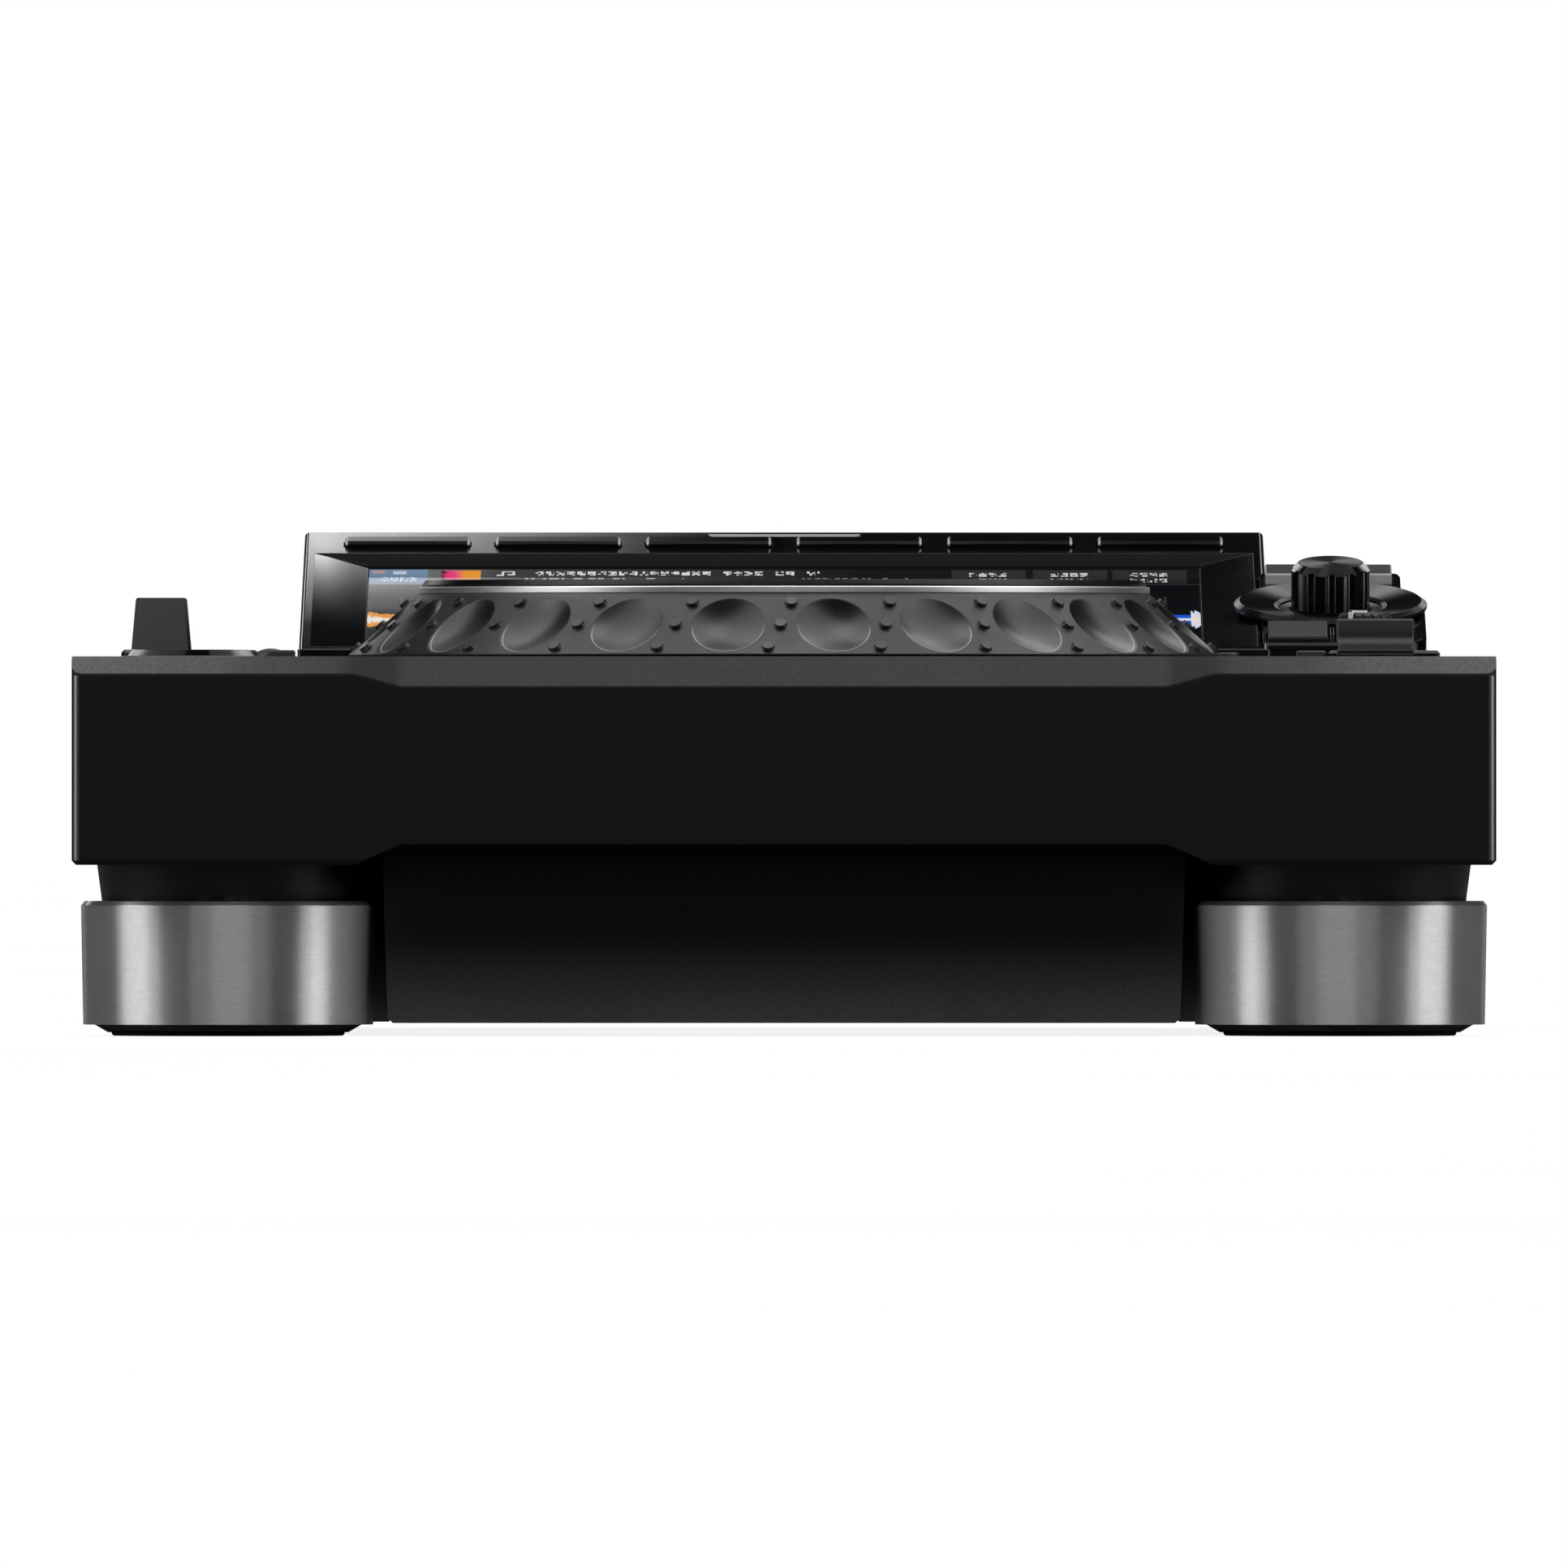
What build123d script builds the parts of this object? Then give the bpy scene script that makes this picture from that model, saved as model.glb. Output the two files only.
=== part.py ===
from build123d import *
import os
from math import sin, cos, tan, radians, sqrt

os.makedirs("parts", exist_ok=True)

# ------------------------------------------------------------------ dimensions
# All lengths in millimetres.  +Z up, the player's front faces -Y,
# origin on the floor plane at the middle of the overall box.

W = 329.0                 # cabinet width
HX = W / 2
Y_F = -226.5              # front face
Y_B = 220.5               # rear face of the cabinet
Y_JACK = 226.5            # rear end of the jack barrels
WALL = 3.0                # cabinet wall
R_V = 2.2                 # radius of the vertical cabinet corners
Z_LOW = 39.6              # lower edge of the cabinet, outer parts
Z_LOW_C = 44.3            # lower edge of the cabinet, middle part
Z_SEAM = 83.3             # seam below the top panel, outer parts
Z_SEAM_C = 80.4           # seam below the top panel, middle part
LIP = 0.5                 # height of the panel's upright front lip, below its chamfer
X_TR_IN = 88.4            # inner end of the slanted transitions
X_TR_OUT = 99.2           # outer end of the slanted transitions
Z_TOP = 87.8              # top surface of the cabinet
T_TOP = 3.0               # top panel thickness

FOOT_X, FOOT_Y = 128.8, 186.0
FOOT_R = 34.1             # metal ring outer radius at the top
FOOT_RB = 33.6            # metal ring outer radius at the bottom
FOOT_BORE = 26.2

PAN_X = 93.0              # half width of the pan between the feet
PAN_Y = 207.0             # half depth of the pan between the feet
WING_X, WING_Y = 152.0, 146.0
Z_PAN = 3.0
Z_FLANGE = 44.4           # underside of the pan flange

JOG_Y = -62.0             # jog wheel axis
JOG_R, JOG_Z0 = 102.0, 88.3
JOG_RT, JOG_Z1 = 85.5, 102.9
JOG_Z2, JOG_Z3 = 104.4, 106.0
N_DIMPLE = 24
DIMPLE_PHASE = 7.1        # degrees from the front, towards +X
DIMPLE_R = 24.2           # radius of the spherical cutter
DIMPLE_DEPTH = 1.9

TILT = 11.0               # display tilt
DISP_X = 115.1            # display housing half width
DISP_Y0, DISP_Y1 = 72.5, 219.0
Z_DISP = 118.8            # overall height, rear edge of the display
Y_STEP = 192.3            # rear wall of the screen recess
REC = 3.0                 # recess depth
MENU_PITCH = 36.1
SCREEN_X = 99.3

SEL_X, SEL_Y = 130.1, 118.0
SEL_TILT = 12.0
Z_PED = 99.8              # pedestal surface on the selector axis
KNOB_R, KNOB_H = 9.4, 11.55

FIT = 0.3                 # gap between a key and its hole
TRAVEL = 0.8              # key travel

LEVER_X, LEVER_Y, LEVER_PZ = -145.7, -75.0, 78.5
FAD_X, FAD_Y, FAD_TRAVEL = 137.45, -150.0, 50.0
ADJ_X, ADJ_Y, ADJ_R = 136.6, -18.0, 6.2


def z_rim(y):
    """height of the display rim plane at depth y"""
    return Z_DISP - (DISP_Y1 - y) * tan(radians(TILT))


DISP = Plane(origin=(0, Y_STEP, z_rim(Y_STEP)), x_dir=(1, 0, 0),
             z_dir=(0, -sin(radians(TILT)), cos(radians(TILT))))
SEL = Plane(origin=(SEL_X, SEL_Y, Z_PED), x_dir=(1, 0, 0),
            z_dir=(0, -sin(radians(SEL_TILT)), cos(radians(SEL_TILT))))
XZ_F = Plane(origin=(0, Y_F - 1, 0), x_dir=(1, 0, 0), z_dir=(0, -1, 0))


def save(builder, name):
    builder.part.label = name
    export_step(builder.part, "parts/" + name + ".step")


# ------------------------------------------------------------------ key tables
# name, centre x, centre y, width, depth, top height
RECT_KEYS = [
    ("track_prev_key", -126.0, -125.5, 6.4, 12.0, 89.5),
    ("track_next_key", -117.1, -125.5, 6.4, 12.0, 89.5),
    ("sync_key", 123.4, -75.0, 6.8, 22.0, 89.5),
]
for i in range(8):
    RECT_KEYS.append(("hot_cue_pad_%d" % (i + 1), (i - 3.5) * 25.4, 57.0, 21.8, 13.6, 89.0))

# name, centre x, centre y, radius, top height
ROUND_KEYS = [
    ("play_key", -137.5, -195.0, 14.6, 89.4),
    ("cue_key", -137.5, -158.0, 14.6, 89.4),
    ("loop_in_key", -121.1, 16.0, 4.6, 89.4),
    ("loop_out_key", -121.1, 34.0, 4.6, 89.4),
    ("jog_mode_key", 104.6, 6.0, 2.7, 89.3),
]
MT_KEY = (139.9, -75.0, 20.0, 11.0)      # master tempo key in the raised plate

TEMPO_PLATE = (127.2, 153.4, -88.0, -62.0, 89.55)
LEVER_PLATE = (9.1, 25.0, 89.7)

# ------------------------------------------------------------------ main case
with BuildPart() as main_case:
    yc = (Y_F + Y_B) / 2
    with BuildSketch(Plane.XY.offset(Z_LOW)):
        with Locations((0, yc)):
            RectangleRounded(W, Y_B - Y_F, R_V)
            Rectangle(W - 2 * WALL, Y_B - Y_F - 2 * WALL, mode=Mode.SUBTRACT)
    extrude(amount=Z_SEAM - Z_LOW)
    # small chamfer round the lower outer edge
    chamfer(main_case.faces().sort_by(Axis.Z)[0].outer_wire().edges(), 1.0)
    # raised middle part of the lower front edge
    with BuildSketch(XZ_F):
        with BuildLine():
            Polyline((-X_TR_OUT - 1.2, Z_LOW - 0.5), (-X_TR_IN, Z_LOW_C), (X_TR_IN, Z_LOW_C),
                     (X_TR_OUT + 1.2, Z_LOW - 0.5), close=True)
        make_face()
    extrude(amount=-8, mode=Mode.SUBTRACT)
    # lowered middle part of the upper front edge
    with BuildSketch(XZ_F):
        with BuildLine():
            Polyline((-X_TR_OUT, Z_SEAM), (-X_TR_IN, Z_SEAM_C), (X_TR_IN, Z_SEAM_C),
                     (X_TR_OUT, Z_SEAM), (X_TR_OUT, Z_SEAM + 1), (-X_TR_OUT, Z_SEAM + 1), close=True)
        make_face()
    extrude(amount=-10, mode=Mode.SUBTRACT)
    # rear window for the connector panel
    with BuildSketch(Plane.XZ.offset(-(Y_B - 8))):
        with Locations((0, 63)):
            Rectangle(296, 32)
    extrude(amount=-12, mode=Mode.SUBTRACT)
    # screw bosses along the side walls
    with BuildSketch(Plane.XY.offset(46.2)):
        for sx in (-1, 1):
            for y in (-150, 0, 150):
                with Locations((sx * 157.5, y)):
                    Rectangle(10, 9)
    extrude(amount=18)
    with BuildSketch(Plane.XY.offset(46.2)):
        for sx in (-1, 1):
            for y in (-150, 0, 150):
                with Locations((sx * 157.0, y)):
                    Circle(1.55)
    extrude(amount=14, mode=Mode.SUBTRACT)
save(main_case, "main_case")

# ------------------------------------------------------------------ top panel
with BuildPart() as top_panel:
    with BuildSketch(Plane.XY.offset(Z_TOP - T_TOP)):
        with Locations((0, yc)):
            RectangleRounded(W, Y_B - Y_F, R_V)
    extrude(amount=T_TOP)
    with BuildSketch(Plane.XY.offset(Z_SEAM)):
        with Locations((0, yc)):
            RectangleRounded(W, Y_B - Y_F, R_V)
            Rectangle(W - 2 * WALL, Y_B - Y_F - 2 * WALL, mode=Mode.SUBTRACT)
    extrude(amount=Z_TOP - T_TOP - Z_SEAM)
    # front lip with the slanted transitions
    with BuildSketch(Plane(origin=(0, Y_F, 0), x_dir=(1, 0, 0), z_dir=(0, -1, 0))):
        with BuildLine():
            Polyline((-HX + 2, Z_SEAM), (-X_TR_OUT, Z_SEAM), (-X_TR_IN, Z_SEAM_C), (X_TR_IN, Z_SEAM_C),
                     (X_TR_OUT, Z_SEAM), (HX - 2, Z_SEAM), (HX - 2, Z_TOP - 1), (-HX + 2, Z_TOP - 1),
                     close=True)
        make_face()
    extrude(amount=-8.5)
    # front chamfer, deeper over the middle part
    a, b = Z_TOP - Z_SEAM - LIP, Z_TOP - Z_SEAM_C - LIP
    for xs in ((-HX - 1, -X_TR_OUT, a, a), (-X_TR_OUT, -X_TR_IN, a, b), (-X_TR_IN, X_TR_IN, b, b),
               (X_TR_IN, X_TR_OUT, b, a), (X_TR_OUT, HX + 1, a, a)):
        for xq, d in ((xs[0], xs[2]), (xs[1], xs[3])):
            with BuildSketch(Plane(origin=(xq, Y_F, Z_TOP), x_dir=(0, 1, 0), z_dir=(1, 0, 0))):
                with BuildLine():
                    Polyline((-3.0, 3.0), (-3.0, -d - 3.0), (d + 3.0, 3.0), close=True)
                make_face()
        loft(ruled=True, mode=Mode.SUBTRACT)
    # soft edge round the sides and the rear of the top surface
    top_e = top_panel.faces().filter_by(Axis.Z).sort_by(Axis.Z)[-1].edges()
    chamfer([e for e in top_e if e.center().Y > Y_F + 12 or abs(e.center().X) > HX - 3], 0.25)
    # raised lever plate and tempo plate
    with BuildSketch(Plane.XY.offset(Z_TOP)):
        with Locations((LEVER_X, LEVER_Y)):
            RectangleRounded(2 * LEVER_PLATE[0], 2 * LEVER_PLATE[1], 2.5)
    extrude(amount=LEVER_PLATE[2] - Z_TOP)
    chamfer(top_panel.faces().filter_by(Axis.Z).sort_by(Axis.Z)[-1].outer_wire().edges(), 0.7)
    # jog opening
    with BuildSketch(Plane.XY.offset(Z_TOP + 5)):
        with Locations((0, JOG_Y)):
            Circle(97.5)
    extrude(amount=-20, mode=Mode.SUBTRACT)
    # opening under the display, slot of the fader, opening under the pedestal, lever slot, usb
    with BuildSketch(Plane.XY.offset(Z_TOP + 5)):
        with Locations((0, 141.0)):
            Rectangle(208, 133)
        with Locations((FAD_X, FAD_Y)):
            SlotOverall(2 * FAD_TRAVEL + 12, 3.4, rotation=90)
        with Locations((132.2, 119.0)):
            Rectangle(26, 66)
        with Locations((LEVER_X, LEVER_Y)):
            Rectangle(15.8, 17.0)
        with Locations((-140.0, 168.0)):
            Rectangle(13.6, 6.2)
    extrude(amount=-20, mode=Mode.SUBTRACT)
    # key holes
    with BuildSketch(Plane.XY.offset(Z_TOP + 5)):
        for (nm, x, y, w, d, zt) in RECT_KEYS:
            with Locations((x, y)):
                RectangleRounded(w + 2 * FIT, d + 2 * FIT, 1.1)
        for (nm, x, y, r, zt) in ROUND_KEYS:
            with Locations((x, y)):
                Circle(r + FIT)
        with Locations((MT_KEY[0], MT_KEY[1])):
            RectangleRounded(MT_KEY[2] + 2 * FIT, MT_KEY[3] + 2 * FIT, 1.1)
        with Locations((ADJ_X, ADJ_Y)):
            Circle(3.6)
    extrude(amount=-20, mode=Mode.SUBTRACT)
    # lever bearing ears below the lever slot
    for sx in (-1, 1):
        with BuildSketch(Plane(origin=(LEVER_X + sx * 9.7, 0, 0), x_dir=(0, 1, 0), z_dir=(1, 0, 0))):
            with Locations((LEVER_Y, 80.4)):
                Rectangle(10, 9.6)
        extrude(amount=1.5, both=True)
    with BuildSketch(Plane(origin=(LEVER_X, 0, 0), x_dir=(0, 1, 0), z_dir=(1, 0, 0))):
        with Locations((LEVER_Y, LEVER_PZ)):
            Circle(1.55)
    extrude(amount=14, both=True, mode=Mode.SUBTRACT)
save(top_panel, "top_panel")

# ------------------------------------------------------------------ tempo plate
with BuildPart() as tempo_plate:
    tx0, tx1, ty0, ty1, tz = TEMPO_PLATE
    with BuildSketch(Plane.XY.offset(Z_TOP)):
        with Locations(((tx0 + tx1) / 2, (ty0 + ty1) / 2)):
            RectangleRounded(tx1 - tx0, ty1 - ty0, 0.8)
    extrude(amount=tz - Z_TOP)
    chamfer(tempo_plate.faces().sort_by(Axis.Z)[-1].edges(), 0.7)
    with BuildSketch(Plane.XY.offset(Z_TOP - 1)):
        with Locations((MT_KEY[0], MT_KEY[1])):
            RectangleRounded(MT_KEY[2] + 2 * FIT, MT_KEY[3] + 2 * FIT, 1.1)
    extrude(amount=10, mode=Mode.SUBTRACT)
save(tempo_plate, "tempo_plate")

# ------------------------------------------------------------------ bottom pan
with BuildPart() as bottom_pan:
    with BuildSketch(Plane.XY.offset(Z_FLANGE)):
        with Locations((0, (Y_F + Y_B) / 2)):
            Rectangle(W - 2 * WALL - 0.6, Y_B - Y_F - 2 * WALL - 0.6)
    extrude(amount=1.5)
    # deep tray: middle block and wings between the front and rear feet
    with BuildSketch(Plane.XY.offset(Z_FLANGE)):
        Rectangle(2 * PAN_X, 2 * PAN_Y)
    with BuildSketch(Plane.XY.offset(Z_PAN + 1.2)):
        Rectangle(2 * PAN_X - 2.6, 2 * PAN_Y - 0.6)
    loft()
    with BuildSketch(Plane.XY.offset(Z_PAN + 1.2)):
        Rectangle(2 * PAN_X - 2.6, 2 * PAN_Y - 0.6)
    extrude(amount=-1.2, taper=45)
    with BuildSketch(Plane.XY.offset(Z_FLANGE)):
        with BuildLine():
            Polyline((-WING_X, -WING_Y + 12), (-WING_X + 12, -WING_Y), (-PAN_X + 1, -WING_Y),
                     (-PAN_X + 1, WING_Y), (-WING_X + 12, WING_Y), (-WING_X, WING_Y - 12), close=True)
        make_face()
        mirror(about=Plane.YZ)
    extrude(amount=-(Z_FLANGE - 3.0))
    # hollow inside, open upwards
    with BuildSketch(Plane.XY.offset(Z_PAN + 1.6)):
        Rectangle(2 * PAN_X - 6.0, 2 * PAN_Y - 5.0)
    extrude(amount=60, mode=Mode.SUBTRACT)
    with BuildSketch(Plane.XY.offset(4.6)):
        Rectangle(2 * WING_X - 4.0, 2 * WING_Y - 28)
    extrude(amount=60, mode=Mode.SUBTRACT)
    # cross rails carrying the main board
    with BuildSketch(Plane.XY.offset(40.0)):
        with Locations((0, 25)):
            Rectangle(2 * WING_X - 3.0, 8.0)
        with Locations((0, 188)):
            Rectangle(2 * 91.5, 8.0)
    extrude(amount=5.9)
    # screw holes of the flange
    with BuildSketch(Plane.XY.offset(40)):
        for sx in (-1, 1):
            for y in (-150, 0, 150):
                with Locations((sx * 157.0, y)):
                    Circle(1.7)
        for sx in (-1, 1):
            for sy in (-1, 1):
                with Locations((sx * FOOT_X, sy * FOOT_Y)):
                    Circle(3.1)
    extrude(amount=10, mode=Mode.SUBTRACT)
    # vent slots in the floor
    with BuildSketch(Plane.XY.offset(0)):
        with GridLocations(9, 0, 11, 1):
            SlotOverall(60, 3.2, rotation=90)
    extrude(amount=5.5, mode=Mode.SUBTRACT)
save(bottom_pan, "bottom_pan")

# ------------------------------------------------------------------ feet
with BuildPart() as foot_necks:
    with BuildSketch(Plane.XZ) as neck_sk:
        with BuildLine():
            Polyline((0, 3.4), (26.0, 3.4), (26.0, 31.2), (29.25, 31.2), (31.0, Z_FLANGE), (6.4, Z_FLANGE),
                     (6.4, 38.0), (0, 38.0), close=True)
        make_face()
    revolve(axis=Axis.Z)
    with BuildSketch(Plane.XY):
        Circle(3.1)
    extrude(amount=45, mode=Mode.SUBTRACT)
    neck = foot_necks.part
with BuildPart() as foot_necks4:
    with Locations(*[(sx * FOOT_X, sy * FOOT_Y, 0) for sx in (-1, 1) for sy in (-1, 1)]):
        add(neck)
save(foot_necks4, "foot_necks")

with BuildPart() as foot_ring:
    with BuildSketch(Plane.XZ):
        with BuildLine():
            Polyline((FOOT_BORE, 2.6), (FOOT_RB, 2.6), (FOOT_R, 30.2), (FOOT_R - 0.8, 31.2),
                     (FOOT_BORE, 31.2), close=True)
        make_face()
    revolve(axis=Axis.Z)
    ring = foot_ring.part
with BuildPart() as foot_rings4:
    with Locations(*[(sx * FOOT_X, sy * FOOT_Y, 0) for sx in (-1, 1) for sy in (-1, 1)]):
        add(ring)
save(foot_rings4, "foot_rings")

with BuildPart() as foot_pad:
    with BuildSketch(Plane.XZ):
        with BuildLine():
            Polyline((0, 0), (26.6, 0), (27.0, 0.4), (27.0, 0.8), (27.9, 0.8), (31.0, 2.6), (25.9, 2.6),
                     (25.9, 3.4), (5.0, 3.4), (5.0, 1.4), (0, 1.4), close=True)
        make_face()
    revolve(axis=Axis.Z)
    pad = foot_pad.part
with BuildPart() as foot_pads4:
    with Locations(*[(sx * FOOT_X, sy * FOOT_Y, 0) for sx in (-1, 1) for sy in (-1, 1)]):
        add(pad)
save(foot_pads4, "foot_pads")

# ------------------------------------------------------------------ screws
with BuildPart() as case_screws:
    for sx in (-1, 1):
        for y in (-150, 0, 150):
            with BuildSketch(Plane.XY.offset(Z_FLANGE - 2.0)):
                with Locations((sx * 157.0, y)):
                    Circle(3.0)
            extrude(amount=2.0)
            with BuildSketch(Plane.XY.offset(Z_FLANGE)):
                with Locations((sx * 157.0, y)):
                    Circle(1.5)
            extrude(amount=14)
    for sx in (-1, 1):
        for sy in (-1, 1):
            # long foot bolts, head on the flange, shank down through the neck
            with BuildSketch(Plane.XY.offset(Z_FLANGE + 1.5)):
                with Locations((sx * FOOT_X, sy * FOOT_Y)):
                    RegularPolygon(5.0, 6)
            extrude(amount=4.0)
            with BuildSketch(Plane.XY.offset(8)):
                with Locations((sx * FOOT_X, sy * FOOT_Y)):
                    Circle(3.0)
            extrude(amount=Z_FLANGE + 1.5 - 8)
    # connector panel screws
    for x in (-143, -50, 50, 143):
        for z in (50.5, 75.5):
            with BuildSketch(Plane.XZ.offset(-(Y_B - WALL))):
                with Locations((x, z)):
                    Circle(2.6)
            extrude(amount=-1.4)
            with BuildSketch(Plane.XZ.offset(-(Y_B - WALL))):
                with Locations((x, z)):
                    Circle(1.5)
            extrude(amount=6)
save(case_screws, "case_screws")

# ------------------------------------------------------------------ rear panel
LAN_X = (-118.0, -96.0)
USBB_X = -70.0
RCA_X = (-30.0, -12.0, 12.0)
INLET_X, ROCK_X, Z_CON = 105.0, 70.0, 63.0
Y_PNL = Y_B - WALL        # outer face of the connector panel
PIV_Y = Y_PNL - 4.5       # pivot of the rocker
with BuildPart() as rear_panel:
    with BuildSketch(Plane.XZ.offset(-Y_PNL)):
        with Locations((0, 63.85)):
            Rectangle(304.0, 35.3)
        with Locations(*[(x, Z_CON) for x in LAN_X]):
            Rectangle(13.0, 10.4, mode=Mode.SUBTRACT)
        with Locations((USBB_X, Z_CON)):
            Rectangle(12.4, 11.2, mode=Mode.SUBTRACT)
        with Locations(*[(x, Z_CON) for x in RCA_X]):
            Circle(5.3, mode=Mode.SUBTRACT)
        with Locations((INLET_X, Z_CON)):
            Rectangle(27.4, 20.0, mode=Mode.SUBTRACT)
        with Locations((ROCK_X, Z_CON)):
            Rectangle(15.6, 22.4, mode=Mode.SUBTRACT)
        with Locations((34, Z_CON)):
            SlotOverall(7.0, 3.2, mode=Mode.SUBTRACT)
        with Locations(*[(x, z) for x in (-143, -50, 50, 143) for z in (50.5, 75.5)]):
            Circle(1.6, mode=Mode.SUBTRACT)
    extrude(amount=1.5)
save(rear_panel, "rear_panel")

with BuildPart() as ac_inlet:
    with BuildSketch(Plane.XZ.offset(-Y_PNL)):
        with Locations((INLET_X, Z_CON)):
            RectangleRounded(31.0, 24.0, 3.0)
            Rectangle(24.4, 16.8, mode=Mode.SUBTRACT)
        with Locations((ROCK_X, Z_CON)):
            RectangleRounded(19.0, 25.8, 2.0)
            Rectangle(12.6, 19.4, mode=Mode.SUBTRACT)
    extrude(amount=-2.2)
    chamfer(ac_inlet.faces().sort_by(Axis.Y)[-1].edges(), 0.4)
    chamfer(ac_inlet.faces().sort_by(Axis.Y)[-2].edges(), 0.4)
    with BuildSketch(Plane.XZ.offset(-Y_PNL)):
        with Locations((INLET_X, Z_CON)):
            Rectangle(27.0, 19.6)
            Rectangle(24.4, 16.8, mode=Mode.SUBTRACT)
        with Locations((ROCK_X, Z_CON)):
            Rectangle(15.2, 22.0)
            Rectangle(12.6, 19.4, mode=Mode.SUBTRACT)
    extrude(amount=17)
    # back wall joins the inlet and the rocker well
    with BuildSketch(Plane.XZ.offset(-(Y_PNL - 17.0))):
        with Locations(((INLET_X + ROCK_X) / 2, Z_CON)):
            Rectangle(62.0, 22.0)
    extrude(amount=3)
    # contact pins
    with BuildSketch(Plane.XZ.offset(-(Y_PNL - 17.0))):
        with Locations((INLET_X - 7, Z_CON - 2), (INLET_X + 7, Z_CON - 2), (INLET_X, Z_CON + 2)):
            Rectangle(2.0, 4.0)
    extrude(amount=-13.5)
    # pivot bores of the rocker
    with BuildSketch(Plane(origin=(ROCK_X, 0, 0), x_dir=(0, 1, 0), z_dir=(1, 0, 0))):
        with Locations((PIV_Y, Z_CON)):
            Circle(1.55)
    extrude(amount=7.7, both=True, mode=Mode.SUBTRACT)
save(ac_inlet, "ac_inlet")

# rocker, resting in the off position (tilted about its pivot)
ROCK_REST = 7.0
with BuildPart() as power_rocker:
    with BuildSketch(Plane(origin=(ROCK_X, PIV_Y, Z_CON), x_dir=(0, 1, 0), z_dir=(1, 0, 0))):
        with BuildLine():
            Polyline((-5.0, -3.0), (0, -6.0), (3.2, -8.4), (6.2, -8.4), (5.2, 0), (6.2, 8.4), (3.2, 8.4),
                     (0, 6.0), (-5.0, 3.0), close=True)
        make_face()
    extrude(amount=6.0, both=True)
    with BuildSketch(Plane(origin=(ROCK_X, PIV_Y, Z_CON), x_dir=(0, 1, 0), z_dir=(1, 0, 0))):
        Circle(1.5)
    extrude(amount=7.4, both=True)
    rocker0 = power_rocker.part
with BuildPart() as power_rocker_t:
    add(rocker0.rotate(Axis((ROCK_X, PIV_Y, Z_CON), (1, 0, 0)), ROCK_REST))
save(power_rocker_t, "power_rocker")

with BuildPart() as audio_jacks:
    with BuildSketch(Plane.XZ.offset(-(Y_PNL - 1.5))):
        with Locations((-9, Z_CON)):
            Rectangle(60, 18)
    extrude(amount=12)
    with BuildSketch(Plane.XZ.offset(-(Y_PNL - 1.5))):
        with Locations(*[(x, Z_CON) for x in RCA_X]):
            Circle(5.2)
    extrude(amount=-3.2)
    with BuildSketch(Plane.XZ.offset(-(Y_PNL - 1.5))):
        with Locations(*[(x, Z_CON) for x in RCA_X]):
            Circle(4.15)
    extrude(amount=-(Y_JACK - Y_PNL + 1.5))
    with BuildSketch(Plane.XZ.offset(-Y_JACK)):
        with Locations(*[(x, Z_CON) for x in RCA_X]):
            Circle(3.4)
            Circle(2.4, mode=Mode.SUBTRACT)
            Circle(1.6)
    extrude(amount=7, mode=Mode.SUBTRACT)
save(audio_jacks, "audio_jacks")

with BuildPart() as network_ports:
    with BuildSketch(Plane.XZ.offset(-(Y_PNL + 0.4))):
        with Locations(*[(x, Z_CON) for x in LAN_X]):
            Rectangle(12.8, 10.2)
        with Locations((USBB_X, Z_CON)):
            Rectangle(12.2, 11.0)
    extrude(amount=16)
    with BuildSketch(Plane.XZ.offset(-(Y_PNL - 1.5))):
        with Locations(*[(x, Z_CON) for x in LAN_X]):
            Rectangle(16.0, 13.6)
        with Locations((USBB_X, Z_CON)):
            Rectangle(15.0, 13.6)
        with Locations((-94, Z_CON - 5.8)):
            Rectangle(66, 2.0)
    extrude(amount=14)
    with BuildSketch(Plane.XZ.offset(-(Y_PNL + 0.4))):
        with Locations(*[(x, Z_CON) for x in LAN_X]):
            Rectangle(11.6, 6.8)
        with Locations(*[(x, Z_CON - 3.9) for x in LAN_X]):
            Rectangle(6.0, 1.6)
        with Locations((USBB_X, Z_CON)):
            Rectangle(8.6, 7.8)
    extrude(amount=12.5, mode=Mode.SUBTRACT)
    with BuildSketch(Plane.XZ.offset(-(Y_PNL - 1.6))):
        with Locations((USBB_X, Z_CON)):
            Rectangle(5.6, 3.2)
    extrude(amount=11.5)
save(network_ports, "network_ports")

# ------------------------------------------------------------------ usb socket in the top
with BuildPart() as usb_port:
    with BuildSketch(Plane.XY.offset(Z_TOP - 14)):
        with Locations((-140.0, 168.0)):
            Rectangle(13.2, 5.8)
    extrude(amount=14)
    with BuildSketch(Plane.XY.offset(Z_TOP)):
        with Locations((-140.0, 168.0)):
            Rectangle(12.4, 5.0)
    extrude(amount=-12.5, mode=Mode.SUBTRACT)
    with BuildSketch(Plane.XY.offset(Z_TOP - 13)):
        with Locations((-140.0, 169.3)):
            Rectangle(11.0, 1.8)
    extrude(amount=11.4)
    with BuildSketch(Plane.XY.offset(Z_TOP - 17)):
        with Locations((-140.0, 168.0)):
            Rectangle(26, 18)
    extrude(amount=3.2)
    with BuildSketch(Plane.XY.offset(Z_TOP - 14)):
        with Locations((-150.5, 168.0), (-129.5, 168.0)):
            Circle(2.0)
    extrude(amount=14 - T_TOP)
save(usb_port, "usb_port")

# ------------------------------------------------------------------ display housing
LCD_FRONT = -117.1        # front edge of the picture, along the slope
with BuildPart() as display_core:
    with BuildSketch(Plane.XY.offset(Z_TOP - 4)):
        with Locations((0, 145.0)):
            Rectangle(2 * 105, 138)
    extrude(amount=40)
    with BuildSketch(DISP.offset(-7.0)):
        Rectangle(400, 400)
    extrude(amount=60, mode=Mode.SUBTRACT)
    disp_core = display_core.part

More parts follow.
